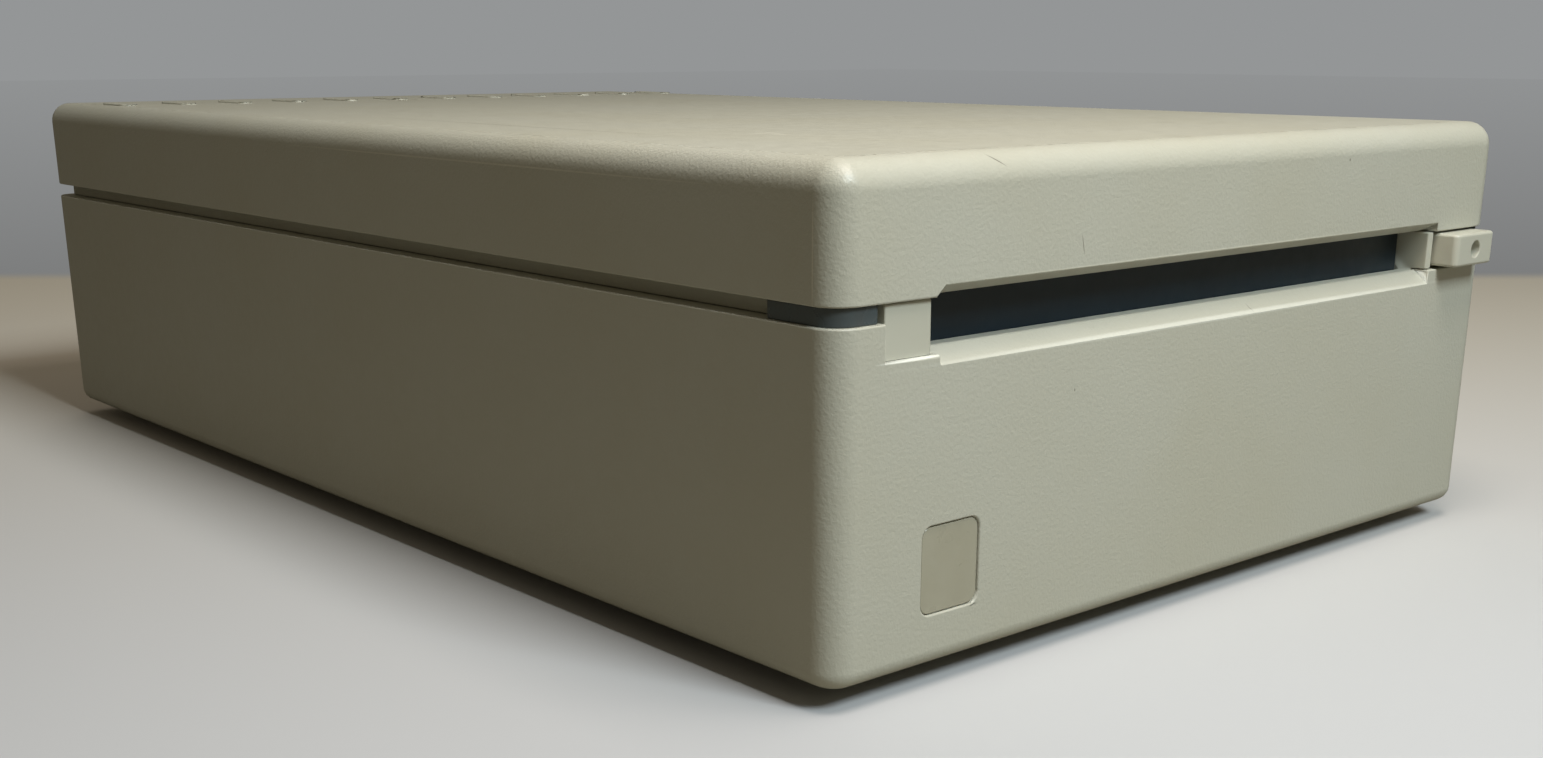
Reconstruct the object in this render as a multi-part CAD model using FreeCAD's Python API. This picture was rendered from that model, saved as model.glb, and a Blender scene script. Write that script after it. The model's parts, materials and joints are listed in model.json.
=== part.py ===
import FreeCAD, Part
import math
import os
from FreeCAD import Vector

# External 3.5 inch floppy disk drive, in millimetres.
# While modelling: x = 0 on the middle of the case, y = 0 on its front face and growing backwards,
# z = 0 on the underside of the case. export_all() moves the finished pieces so that the origin lies
# under the middle of the whole part, on the plane that the feet stand on.

# Case shells; the overall case is worked out below from what it holds and these margins
LEFT_MARGIN = 13.2
RIGHT_MARGIN = 3.3
REAR_ROOM = 34.5
TOP_GAP = 3.4
WALL = 2.5
CORNER_R = 3.2
TOP_EDGE_R = 3.1
BOTTOM_EDGE_R = 2.0
GROOVE_H = 1.9
GROOVE_DEPTH = 2.2
SKIRT_T = 2.0
SKIRT_GAP = 0.3
LEDGE_T = 2.5
LEDGE_W = 2.1
FRONT_CLEAR_D = 13.0

# Case screws and their bosses
BOSS_INSET_X = 5.3
FRONT_BOSS_Y = 30.0
REAR_BOSS_INSET = 15.0
TRAY_BOSS_R = 3.4
LID_BOSS_R = 3.0
SCREW_R = 1.3
SCREW_HEAD_R = 2.3
SCREW_HEAD_H = 1.7
SCREW_SEAT_Z = 14.0
SCREW_BITE = 9.0
HOLE_CLEARANCE = 0.15

# Feet
FOOT_R = 6.0
FOOT_H = 2.3
FOOT_SINK = 0.8
FOOT_INSET_X = 16.0
FOOT_INSET_Y = 20.0

# Cartridge and slot mouth
CARTRIDGE_W = 90.0
CARTRIDGE_L = 94.0
CARTRIDGE_T = 3.3
SLOT_SIDE_GAP = 1.15
DISK_Z = 35.1
GROOVE_RISE = 1.0
LIP_DROP = 2.1
LIP_SLOPE_H = 1.7
LIP_DEPTH = 2.0
LIP_INSET = 1.0
RELIEF_H = 1.1
RELIEF_DEPTH = 2.0
RELIEF_INSET = 0.2
RELIEF_SLANT = 1.3

# Front bezel
NOTCH_INSET = 6.7
NOTCH_SIDE_GAP = 0.7
NOTCH_DROP = 2.7
BUTTON_NOTCH_DROP = 2.0
FIT_GAP = 0.2
BEZEL_RECESS = 0.5
BEZEL_D = 12.5
BEZEL_WALL = 1.3
BEZEL_RISE = 7.4
BEZEL_FLOOR_DROP = 3.4
BEZEL_FLOOR_T = 2.1
SILL_D = 1.9
SILL_DROP = 0.1

# Dust door
DOOR_Y = 4.6
DOOR_T = 1.5
DOOR_FLOOR_GAP = 0.3
DOOR_SIDE_GAP = 0.3
HINGE_SETBACK = 1.0
HINGE_RISE = 4.3
PIN_R = 0.7
RUN_CLEARANCE = 0.05
KNUCKLE_R = 1.5
DOOR_SPRING_L = 2.6
DOOR_SPRING_R = 1.4
PIN_BITE = 1.0

# Eject button
BUTTON_SIDE_GAP = 0.5
BUTTON_W = 9.4
BUTTON_H = 4.2
BUTTON_DROP = 1.6
BUTTON_PROUD = 2.7
BUTTON_D = 12.7
BUTTON_CORNER_R = 0.8
BUTTON_EDGE_R = 0.4
PINHOLE_R = 1.1
PINHOLE_D = 5.0
BUTTON_TRAVEL = 2.0
BUTTON_GUIDE_GAP = 0.3
STEM_R = 0.9
STEM_L = 3.2
LUG_T = 1.2
LUG_H = 1.6
BUTTON_SPRING_R = 1.75
SPRING_WIRE = 0.4
BUTTON_SPRING_TURNS = 6

# Corner trims and badge
TRIM_RECESS = 0.5
TRIM_T = 1.6
TRIM_FRONT_W = 6.0
TRIM_SIDE_L = 10.2
BADGE_INSET_X = 12.4
BADGE_Z0 = 5.8
BADGE_W = 8.2
BADGE_H = 9.2
BADGE_R = 1.2
BADGE_POCKET = 0.7
BADGE_T = 0.5
BADGE_GAP = 0.1

# Rear ribs on the cover
RIB_PITCH = 10.0
RIB_COUNT = 12
RIB_W = 2.6
RIB_L = 10.0
RIB_H = 0.5
RIB_INSET = 26.0

# Drive frame
HOLDER_SIDE_GAP = 0.2
FRAME_Y0 = 15.5
FRAME_Z0 = 12.0
FRAME_RISE = 9.9
FRAME_FLOOR_T = 1.5
FRAME_WALL = 1.9
BULKHEAD_H = 20.0
POST_R = 3.2
POST_INSET_X = 9.7
POST_INSET_Y = 14.5
FRAME_SCREW_R = 1.2
FRAME_SCREW_HEAD_R = 2.6
FRAME_SCREW_HEAD_H = 1.7
FRAME_SCREW_L = 7.0

# Shield over the drive frame
SHIELD_T = 0.6
SHIELD_FLANGE_H = 7.0
SHIELD_FLANGE_Y0 = 36.0

# Disk holder and slide plate
SLIDE_GAP = 0.3
SHEET_T = 1.0
HOLDER_Y0 = 24.0
HOLDER_L = 88.0
HOLDER_LIP_W = 5.0
HOLDER_LIP_DROP = 3.7
HOLDER_RISE = 3.8
HOLDER_DROP = 4.0
HOLDER_PIN_R = 1.0
HOLDER_PIN_RISE = 1.4
HOLDER_PIN_INSETS = (14.0, 68.0)
SLOT_CLEARANCE = 0.2
WINDOW_W = 16.0
WINDOW_L = 34.0
SLIDE_TRAVEL = 8.0
SLIDE_FLOOR_GAP = 0.9
SLIDE_WALL_H = 15.0
SLIDE_REAR_REACH = 10.0
SLIDE_FLANGE_W = 9.0
SLIDE_BAR_D = 6.0

# Eject gear train
GEAR_MODULE = 0.5
PINION_TEETH = 10
WHEEL_TEETH = 36
RACK_GEAR_TEETH = 22
BACKLASH = 0.12
PRESSURE_DEG = 20.0
GEAR_REACH = 13.0
WHEEL_DROP = 4.0
WHEEL_T = 2.4
RACK_TEETH = 13
RACK_T = 2.0
RACK_BODY_W = 3.8
AXLE_R = 1.5
MESH_DEG = 30.0
EJECT_MOTOR_R = 6.8
EJECT_MOTOR_H = 7.0
MOTOR_SHAFT_R = 0.9

# Spindle
SPINDLE_INSET = 38.0
STATOR_R = 24.0
STATOR_T = 3.0
BEARING_R = 3.5
BEARING_H = 8.0
SHAFT_R = 2.0
SHAFT_RISE = 2.3
ROTOR_R = 20.0
ROTOR_GAP = 0.5
ROTOR_H = 6.0
HUB_R = 12.5
HUB_H = 5.0
DRIVE_PIN_R = 0.9
DRIVE_PIN_X = 8.0
DRIVE_PIN_H = 1.2

# Head carriage
CARRIAGE_REACH = 10.0
CARRIAGE_L = 20.0
CARRIAGE_DROP = 4.0
CARRIAGE_RISE = 4.2
CARRIAGE_TRAVEL = 15.0
RAIL_R = 1.5
RAIL_INSET_X = 4.0
RAIL_RISE = 7.5
RAIL_FRONT_GAP = 20.0
RAIL_LUG_L = 3.0
RAIL_LUG_W = 7.0
LOWER_ARM_DROP = 0.2
ARM_T = 1.4
ARM_W = 8.0
HEAD_REACH = 37.0
HEAD_PAD = 3.6
HEAD_PAD_T = 0.7
ARM_POST_W = 12.0
ARM_POST_L = 9.0
ARM_PIVOT_INSET = 4.0
ARM_PIVOT_RISE = 1.1
ARM_PIVOT_R = 0.8
ARM_SWING_DEG = 6.0
EAR_T = 2.0

# Stepper motor and lead screw
STEPPER_R = 10.0
STEPPER_L = 18.0
STEPPER_GAP = 3.6
SCREW_RISE = 3.0
LEAD_R = 1.5
LEAD_PITCH = 3.0
NUT_HALF_W = 4.0

# Boards
BOARD_T = 1.6
BOARD_Z = 5.5
BOARD_HALF_W = 34.0
BOARD_SETBACK = 26.5
BOARD_L = 100.0
STANDOFF_R = 2.5
CHIP_H = 2.2
# Places and sizes of the flat packages as shares of the logic board: x from its middle, y from its
# front edge, width, depth.
PACKAGES = ((-0.265, 0.2, 0.265, 0.18), (0.206, 0.16, 0.324, 0.08), (0.206, 0.32, 0.324, 0.08),
            (-0.294, 0.52, 0.206, 0.08), (0.059, 0.54, 0.235, 0.16))
HEADER_W = 32.0
HEADER_D = 5.0
HEADER_H = 4.0
HEADER_SETBACK = 2.0
RIBBON_W = 26.0
RIBBON_T = 0.8
SENSOR_W = 6.0
SENSOR_H = 8.5
SENSOR_INSET = 8.0
SENSOR_INSET_X = 5.0
SWITCH_W = 6.1
SWITCH_D = 6.0
SWITCH_H = 6.0

# Rear socket, jack posts and cord inlet
SOCKET_INSET_X = 45.0
SOCKET_Z = 18.0
JACK_SPACING = 38.8
SHELL_W = 31.0
SHELL_H = 8.4
SHELL_SLANT = 1.5
SHELL_T = 0.5
SHELL_PROUD = 3.2
FLANGE_W = 47.0
FLANGE_H = 12.5
FLANGE_T = 1.0
INSERT_GAP = 0.1
INSERT_BACK = 6.5
CONTACT_R = 0.55
CONTACT_PITCH = 2.77
CONTACT_ROW_Z = 1.42
CONTACT_ROWS = (10, 9)
CONTACT_D = 5.0
JACK_AF = 4.8
JACK_PROUD = 5.0
JACK_BORE_R = 1.2
JACK_TAIL_R = 1.4
JACK_TAIL_L = 2.5
SOCKET_BOARD_W = 50.0
SOCKET_BOARD_H = 18.0
INLET_INSET_X = 25.0
INLET_Z = 18.0
INLET_BORE_R = 3.1
INLET_NECK_R = 5.4
INLET_FLANGE_R = 7.5
INLET_FLANGE_T = 1.5

# Values worked out from the sizes above
SLOT_W = CARTRIDGE_W + 2 * SLOT_SIDE_GAP
CASE_W = LEFT_MARGIN + SLOT_W + BEZEL_WALL + BUTTON_SIDE_GAP + BUTTON_W + RIGHT_MARGIN
HALF_W = CASE_W / 2
FRAME_W = CARTRIDGE_W + 2 * (HOLDER_SIDE_GAP + 2 * SHEET_T + 2 * SLIDE_GAP + FRAME_WALL)
POST_X = FRAME_W / 2 - POST_INSET_X
HOLDER_Y1 = HOLDER_Y0 + HOLDER_L
CARRIAGE_Y0 = HOLDER_Y1 + CARRIAGE_REACH
STEPPER_Y0 = CARRIAGE_Y0 + CARRIAGE_L + STEPPER_GAP
FRAME_Y1 = STEPPER_Y0 + STEPPER_L + FRAME_WALL
CASE_D = FRAME_Y1 + REAR_ROOM
FRAME_FLOOR_Z = FRAME_Z0 + FRAME_FLOOR_T
FRAME_TOP_Z = DISK_Z + FRAME_RISE
CASE_H = FRAME_TOP_Z + SHIELD_T + TOP_GAP + WALL
TRAY_H = DISK_Z + GROOVE_RISE
LID_Z = TRAY_H + GROOVE_H
BOSS_X = HALF_W - BOSS_INSET_X
BOSS_Y = (FRONT_BOSS_Y, CASE_D - REAR_BOSS_INSET)
SLOT_X0 = LEFT_MARGIN - HALF_W
SLOT_X1 = SLOT_X0 + SLOT_W
MECH_X = SLOT_X0 + SLOT_W / 2
LIP_TOP_Z = DISK_Z - LIP_DROP
LIP_FRONT_Z = LIP_TOP_Z - LIP_SLOPE_H
BEZEL_TOP_Z = DISK_Z + BEZEL_RISE
BEZEL_FLOOR_Z = DISK_Z - BEZEL_FLOOR_DROP
DOOR_BOTTOM_Z = BEZEL_FLOOR_Z + DOOR_FLOOR_GAP
HINGE_Y = DOOR_Y + HINGE_SETBACK
HINGE_Z = DISK_Z + HINGE_RISE
BUTTON_X0 = SLOT_X1 + BEZEL_WALL + BUTTON_SIDE_GAP
BUTTON_X = BUTTON_X0 + BUTTON_W / 2
BUTTON_Z0 = DISK_Z - BUTTON_DROP
BUTTON_Z = BUTTON_Z0 + BUTTON_H / 2
BUTTON_BACK = BUTTON_D - BUTTON_PROUD
NOTCH_X0 = NOTCH_INSET - HALF_W
NOTCH_X1 = BUTTON_X0 + BUTTON_W + NOTCH_SIDE_GAP
NOTCH_Z = DISK_Z - NOTCH_DROP
BUTTON_NOTCH_Z = DISK_Z - BUTTON_NOTCH_DROP
BADGE_X0 = BADGE_INSET_X - HALF_W
RIB_Y = CASE_D - RIB_INSET
FRAME_X0 = MECH_X - FRAME_W / 2
FRAME_X1 = MECH_X + FRAME_W / 2
SLIDE_HALF_W = FRAME_W / 2 - FRAME_WALL - SLIDE_GAP
HOLDER_HALF_W = SLIDE_HALF_W - SHEET_T - SLIDE_GAP
HOLDER_LIP_Z = DISK_Z - HOLDER_LIP_DROP
HOLDER_TOP_Z = DISK_Z + HOLDER_RISE
HOLDER_PIN_Z = DISK_Z + HOLDER_PIN_RISE
HOLDER_PIN_Y = [HOLDER_Y0 + inset for inset in HOLDER_PIN_INSETS]
WINDOW_Y0 = HOLDER_Y1 - WINDOW_L
PIN_SLOT_R = HOLDER_PIN_R + SLOT_CLEARANCE
SLIDE_Y0 = HOLDER_Y0
SLIDE_Y1 = HOLDER_Y1 + SLIDE_REAR_REACH
SLIDE_Z0 = HOLDER_LIP_Z - HOLDER_DROP - SLIDE_FLOOR_GAP - SHEET_T
GEAR_Y = SLIDE_Y1 + GEAR_REACH
WHEEL_Z = SLIDE_Z0 - WHEEL_DROP
RACK_R = GEAR_MODULE * RACK_GEAR_TEETH / 2
WHEEL_R = GEAR_MODULE * WHEEL_TEETH / 2
PINION_R = GEAR_MODULE * PINION_TEETH / 2
RACK_LINE_X = MECH_X - SLIDE_HALF_W + RACK_BODY_W + GEAR_MODULE
GEAR_X = RACK_LINE_X + RACK_R
PINION_X = GEAR_X + (WHEEL_R + PINION_R) * math.cos(math.radians(MESH_DEG))
PINION_Y = GEAR_Y + (WHEEL_R + PINION_R) * math.sin(math.radians(MESH_DEG))
SPINDLE_Y = HOLDER_Y0 + SPINDLE_INSET
BEARING_TOP_Z = FRAME_FLOOR_Z + BEARING_H
ROTOR_Z0 = FRAME_FLOOR_Z + STATOR_T + ROTOR_GAP
ROTOR_Z1 = ROTOR_Z0 + ROTOR_H
HUB_TOP_Z = ROTOR_Z1 + HUB_H
SHAFT_TOP_Z = HUB_TOP_Z + SHAFT_RISE
CARRIAGE_HALF_W = CARTRIDGE_W / 5
RAIL_X = CARRIAGE_HALF_W - RAIL_INSET_X
RAIL_Z = FRAME_FLOOR_Z + RAIL_RISE
RAIL_Y0 = CARRIAGE_Y0 - RAIL_FRONT_GAP
CARRIAGE_Z0 = RAIL_Z - CARRIAGE_DROP
CARRIAGE_Z1 = RAIL_Z + CARRIAGE_RISE
LOWER_ARM_Z0 = HOLDER_LIP_Z - HOLDER_DROP - LOWER_ARM_DROP
HEAD_Y = SPINDLE_Y + HEAD_REACH
ARM_POST_Y0 = CARRIAGE_Y0 + CARRIAGE_L - ARM_POST_L
ARM_PIVOT_Y = CARRIAGE_Y0 + CARRIAGE_L - ARM_PIVOT_INSET
ARM_PIVOT_Z = HOLDER_TOP_Z + ARM_PIVOT_RISE
SCREW_X = CARTRIDGE_W / 3
SCREW_Z = RAIL_Z + SCREW_RISE
BOARD_Y0 = FRAME_Y0 + BOARD_SETBACK
SENSOR_X = CARTRIDGE_W / 2 - SENSOR_INSET_X
SENSOR_Y = HOLDER_Y1 - SENSOR_INSET
SOCKET_X = HALF_W - SOCKET_INSET_X
INLET_X = INLET_INSET_X - HALF_W
REAR_WALL_Y = CASE_D - WALL
FLANGE_Y0 = REAR_WALL_Y - FLANGE_T
INSERT_Y0 = FLANGE_Y0 - INSERT_BACK
SOCKET_BOARD_Y = INSERT_Y0 - BOARD_T
UP = Vector(0, 0, 1)
BACK = Vector(0, 1, 0)
RIGHT = Vector(1, 0, 0)


def box(x0, x1, y0, y1, z0, z1):
    """Block between two corners."""
    return Part.makeBox(x1 - x0, y1 - y0, z1 - z0, Vector(x0, y0, z0))


def rod(radius, x, y, z, direction, length):
    """Round bar from a start point along a direction."""
    return Part.makeCylinder(radius, length, Vector(x, y, z), direction)


def upright_edges(shape):
    """Edges that run straight up."""
    return [e for e in shape.Edges if e.BoundBox.XLength < 1e-6 and e.BoundBox.YLength < 1e-6]


def slab(inset, z0, z1, radius):
    """Block with the case's plan, drawn in by an inset, with round upright corners."""
    block = box(inset - HALF_W, HALF_W - inset, inset, CASE_D - inset, z0, z1)
    return block.makeFillet(radius, upright_edges(block))


def ring(outer_inset, inner_inset, z0, z1):
    """Frame that follows the case's plan between two insets."""
    outer_r = max(CORNER_R - outer_inset, WALL / 5)
    inner_r = max(CORNER_R - inner_inset, WALL / 5)
    return slab(outer_inset, z0, z1, outer_r).cut(slab(inner_inset, z0 - 1, z1 + 1, inner_r))


def side_prism(points_yz, x0, x1):
    """Prism along x with a side view given as (y, z) points."""
    loop = [Vector(x0, y, z) for y, z in points_yz + points_yz[:1]]
    return Part.Face(Part.makePolygon(loop)).extrude(Vector(x1 - x0, 0, 0))


def front_prism(points_xz, y0, y1):
    """Prism along y with a front view given as (x, z) points."""
    loop = [Vector(x, y0, z) for x, z in points_xz + points_xz[:1]]
    return Part.Face(Part.makePolygon(loop)).extrude(Vector(0, y1 - y0, 0))


def slot_prism(y0, z0, y1, z1, radius, x0, x1):
    """Round-ended slot along x whose centre line runs from (y0, z0) to (y1, z1)."""
    length = math.hypot(y1 - y0, z1 - z0)
    turn = math.degrees(math.atan2(z1 - z0, y1 - y0))
    bar = box(x0, x1, 0, length, -radius, radius)
    bar = bar.fuse([rod(radius, x0, 0, 0, RIGHT, x1 - x0), rod(radius, x0, length, 0, RIGHT, x1 - x0)])
    bar = bar.removeSplitter()
    bar.rotate(Vector(0, 0, 0), RIGHT, turn)
    bar.translate(Vector(0, y0, z0))
    return bar


def boss_places():
    """Plan places of the four case screws."""
    return [(x, y) for x in (-BOSS_X, BOSS_X) for y in BOSS_Y]


def foot_places():
    """Plan places of the four feet."""
    x = HALF_W - FOOT_INSET_X
    return [(sx * x, y) for sx in (-1, 1) for y in (FOOT_INSET_Y, CASE_D - FOOT_INSET_Y)]


def post_places():
    """Plan places of the four posts that carry the drive frame."""
    ys = (FRAME_Y0 + POST_INSET_Y, FRAME_Y1 - POST_INSET_Y)
    return [(MECH_X + sx * POST_X, y) for sx in (-1, 1) for y in ys]


def standoff_places():
    """Plan places of the four standoffs under the logic board."""
    x = BOARD_HALF_W - STANDOFF_R
    ys = (BOARD_Y0 + STANDOFF_R, BOARD_Y0 + BOARD_L - STANDOFF_R)
    return [(MECH_X + sx * x, y) for sx in (-1, 1) for y in ys]


def lower_case():
    outer = slab(0, 0, TRAY_H, CORNER_R)
    rim = [e for e in outer.Edges if e.BoundBox.ZMax < 1e-6]
    outer = outer.makeFillet(BOTTOM_EDGE_R, rim)
    tray = outer.cut(slab(WALL, WALL, TRAY_H + 1, CORNER_R - WALL))
    ledge = ring(WALL, WALL + LEDGE_W, TRAY_H - LEDGE_T, TRAY_H)
    ledge = ledge.cut(box(NOTCH_X0 - SKIRT_GAP, HALF_W, 0, FRONT_CLEAR_D, 0, CASE_H))
    parts = [ledge]
    parts += [rod(TRAY_BOSS_R, x, y, WALL, UP, TRAY_H - WALL) for x, y in boss_places()]
    parts += [rod(POST_R, x, y, WALL, UP, FRAME_Z0 - WALL) for x, y in post_places()]
    parts += [rod(STANDOFF_R, x, y, WALL, UP, BOARD_Z - WALL) for x, y in standoff_places()]
    # The bosses stay inside the groove, out of sight.
    parts = [p.common(slab(GROOVE_DEPTH, 0, TRAY_H, CORNER_R - GROOVE_DEPTH)) for p in parts]
    tray = tray.fuse(parts).removeSplitter()
    cuts = front_cuts() + bottom_cuts() + rear_cuts()
    return tray.cut(Part.makeCompound(cuts))


def front_cuts():
    """Notch for the bezel and button, the sloping lip under the slot, and the badge pocket."""
    lip_x0 = SLOT_X0 + LIP_INSET
    past = WALL + 1
    lip = side_prism([(-1, LIP_FRONT_Z), (0, LIP_FRONT_Z), (LIP_DEPTH, LIP_TOP_Z), (past, LIP_TOP_Z),
                      (past, CASE_H), (-1, CASE_H)], lip_x0, SLOT_X1)
    left = box(NOTCH_X0, lip_x0, -1, past, NOTCH_Z, CASE_H)
    right = box(SLOT_X1, NOTCH_X1, -1, past, BUTTON_NOTCH_Z, CASE_H)
    return [lip.fuse([left, right]), badge_block(BADGE_GAP, -1, BADGE_POCKET)]


def badge_block(grow, y0, y1):
    """Rounded block at the badge's place, grown by a gap all round."""
    block = box(BADGE_X0 - grow, BADGE_X0 + BADGE_W + grow, y0, y1,
                BADGE_Z0 - grow, BADGE_Z0 + BADGE_H + grow)
    along = [e for e in block.Edges if e.BoundBox.XLength < 1e-6 and e.BoundBox.ZLength < 1e-6]
    return block.makeFillet(BADGE_R + grow, along)


def bottom_cuts():
    """Screw holes with counterbores, foot recesses and pilot holes in the frame posts."""
    cuts = []
    for x, y in boss_places():
        cuts.append(rod(SCREW_R + HOLE_CLEARANCE, x, y, -1, UP, TRAY_H + 2))
        cuts.append(rod(SCREW_HEAD_R + HOLE_CLEARANCE, x, y, -1, UP, SCREW_SEAT_Z + 1))
    cuts += [rod(FOOT_R, x, y, -1, UP, FOOT_SINK + 1) for x, y in foot_places()]
    cuts += [rod(FRAME_SCREW_R + RUN_CLEARANCE, x, y, FRAME_FLOOR_Z - FRAME_SCREW_L - 1, UP, CASE_H)
             for x, y in post_places()]
    return cuts


def shell_outline(grow):
    """D-shaped outline of the rear socket as (x, z) points, grown by a gap."""
    top = SHELL_W / 2 + grow
    low = top - SHELL_SLANT
    half_h = SHELL_H / 2 + grow
    return [(SOCKET_X - low, SOCKET_Z - half_h), (SOCKET_X + low, SOCKET_Z - half_h),
            (SOCKET_X + top, SOCKET_Z + half_h), (SOCKET_X - top, SOCKET_Z + half_h)]


def jack_xs():
    """Places of the two jack posts along x."""
    return (SOCKET_X - JACK_SPACING / 2, SOCKET_X + JACK_SPACING / 2)


def rear_cuts():
    """Openings in the rear wall for the socket, its jack posts and the cord inlet."""
    depth = WALL + 2
    start = REAR_WALL_Y - 1
    cuts = [front_prism(shell_outline(FIT_GAP), start, start + depth)]
    hex_r = JACK_AF / math.sqrt(3)
    cuts += [rod(hex_r + HOLE_CLEARANCE, x, start, SOCKET_Z, BACK, depth) for x in jack_xs()]
    cuts.append(rod(INLET_NECK_R + HOLE_CLEARANCE, INLET_X, start, INLET_Z, BACK, depth))
    return cuts


def upper_cover():
    outer = slab(0, LID_Z, CASE_H, CORNER_R)
    top = [e for e in outer.Edges if e.BoundBox.ZMin > CASE_H - 1e-6]
    outer = outer.makeFillet(TOP_EDGE_R, top)
    lid = outer.cut(slab(WALL, LID_Z - 1, CASE_H - WALL, CORNER_R - WALL))
    skirt = ring(GROOVE_DEPTH, GROOVE_DEPTH + SKIRT_T, TRAY_H + SKIRT_GAP, LID_Z + SKIRT_T)
    skirt = skirt.cut(box(NOTCH_X0 - SKIRT_GAP, NOTCH_X1 - SKIRT_GAP, 0, FRONT_CLEAR_D, 0, CASE_H))
    posts = [rod(LID_BOSS_R, x, y, TRAY_H, UP, CASE_H - WALL - TRAY_H) for x, y in boss_places()]
    lid = lid.fuse([skirt] + posts + rear_ribs()).removeSplitter()
    bores = [rod(SCREW_R + HOLE_CLEARANCE, x, y, TRAY_H - 1, UP, SCREW_BITE + 2) for x, y in boss_places()]
    return lid.cut(Part.makeCompound(bores + [finger_relief()]))


def rear_ribs():
    """Low ribs across the rear of the cover's top, each sunk a little into it."""
    ribs = []
    for i in range(RIB_COUNT):
        x = (i - (RIB_COUNT - 1) / 2) * RIB_PITCH
        rib = box(x - RIB_W / 2, x + RIB_W / 2, RIB_Y, RIB_Y + RIB_L, CASE_H - RIB_H, CASE_H + RIB_H)
        ribs.append(rib.makeFillet(RIB_W / 2 - 0.01, upright_edges(rib)))
    return ribs


def finger_relief():
    """Sloping cut above the slot, along the lower front edge of the cover."""
    x0 = SLOT_X0 + RELIEF_INSET
    wedge = side_prism([(-1, LID_Z - 1), (RELIEF_DEPTH, LID_Z - 1), (RELIEF_DEPTH, LID_Z),
                        (0, LID_Z + RELIEF_H), (-1, LID_Z + RELIEF_H)], x0, SLOT_X1 + BEZEL_WALL - FIT_GAP)
    corner = front_prism([(x0 - 1, LID_Z), (x0, LID_Z), (x0 + RELIEF_SLANT, LID_Z + RELIEF_H),
                          (x0 - 1, LID_Z + RELIEF_H)], -2, RELIEF_DEPTH + 1)
    return wedge.cut(corner)


def corner_trims():
    """Smoked strips that fill the groove round both front corners."""
    band = ring(TRIM_RECESS, TRIM_RECESS + TRIM_T, TRAY_H, LID_Z)
    left = band.common(box(-HALF_W, TRIM_FRONT_W - HALF_W, 0, TRIM_SIDE_L, 0, CASE_H))
    right = band.common(box(NOTCH_X1 + FIT_GAP, HALF_W, 0, TRIM_SIDE_L, 0, CASE_H))
    return left, right


def front_bezel():
    left_x = SLOT_X0 - BEZEL_WALL
    right_x = SLOT_X1 + BEZEL_WALL
    low = BEZEL_FLOOR_Z - BEZEL_FLOOR_T
    parts = [
        box(NOTCH_X0 + FIT_GAP, SLOT_X0, BEZEL_RECESS, WALL, NOTCH_Z + BADGE_GAP, LID_Z - BADGE_GAP),
        box(NOTCH_X0 + FIT_GAP, SLOT_X0, WALL, WALL + BEZEL_WALL, low, LID_Z),
        box(SLOT_X1, right_x, BEZEL_RECESS, WALL, BUTTON_NOTCH_Z + BADGE_GAP, LID_Z - BADGE_GAP),
        box(left_x, SLOT_X0, WALL, BEZEL_D, low, BEZEL_TOP_Z),
        box(SLOT_X1, right_x, WALL, BEZEL_D, low, BEZEL_TOP_Z),
        box(left_x, right_x, WALL, BEZEL_D, low, BEZEL_FLOOR_Z),
        box(SLOT_X0, SLOT_X1, WALL, WALL + SILL_D, low, LIP_TOP_Z - SILL_DROP),
    ]
    guide_x1 = BUTTON_X0 + BUTTON_W
    floor_z = BUTTON_Z0 - BUTTON_GUIDE_GAP
    roof_z = BUTTON_Z0 + BUTTON_H + BUTTON_GUIDE_GAP
    parts.append(box(right_x, guide_x1, WALL, BUTTON_BACK, low, floor_z))
    parts.append(box(right_x, guide_x1, WALL + FIT_GAP, BUTTON_BACK, roof_z, roof_z + LUG_H))
    bezel = parts[0].fuse(parts[1:]).removeSplitter()
    return bezel.cut(hinge_bore(PIN_R + RUN_CLEARANCE))


def hinge_bore(radius):
    """Cylinder on the door's hinge axis that ends inside both bezel walls."""
    length = SLOT_W + 2 * PIN_BITE
    return rod(radius, SLOT_X0 - PIN_BITE, HINGE_Y, HINGE_Z, RIGHT, length)


def dust_door():
    x0 = SLOT_X0 + DOOR_SIDE_GAP
    x1 = SLOT_X1 - DOOR_SIDE_GAP
    knuckle_x0 = x0 + DOOR_SPRING_L + DOOR_SIDE_GAP
    plate = box(x0, x1, DOOR_Y, DOOR_Y + DOOR_T, DOOR_BOTTOM_Z, HINGE_Z - KNUCKLE_R)
    neck = box(knuckle_x0, x1, DOOR_Y, DOOR_Y + DOOR_T, HINGE_Z - KNUCKLE_R, HINGE_Z)
    knuckle = rod(KNUCKLE_R, knuckle_x0, HINGE_Y, HINGE_Z, RIGHT, x1 - knuckle_x0)
    door = plate.fuse([neck, knuckle]).removeSplitter()
    return door.cut(hinge_bore(PIN_R + RUN_CLEARANCE))


def door_spring():
    """Coil of the door's torsion spring, round the hinge pin."""
    x0 = SLOT_X0 + DOOR_SIDE_GAP
    coil = rod(DOOR_SPRING_R, x0, HINGE_Y, HINGE_Z, RIGHT, DOOR_SPRING_L)
    return coil.cut(hinge_bore(PIN_R + RUN_CLEARANCE))


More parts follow.
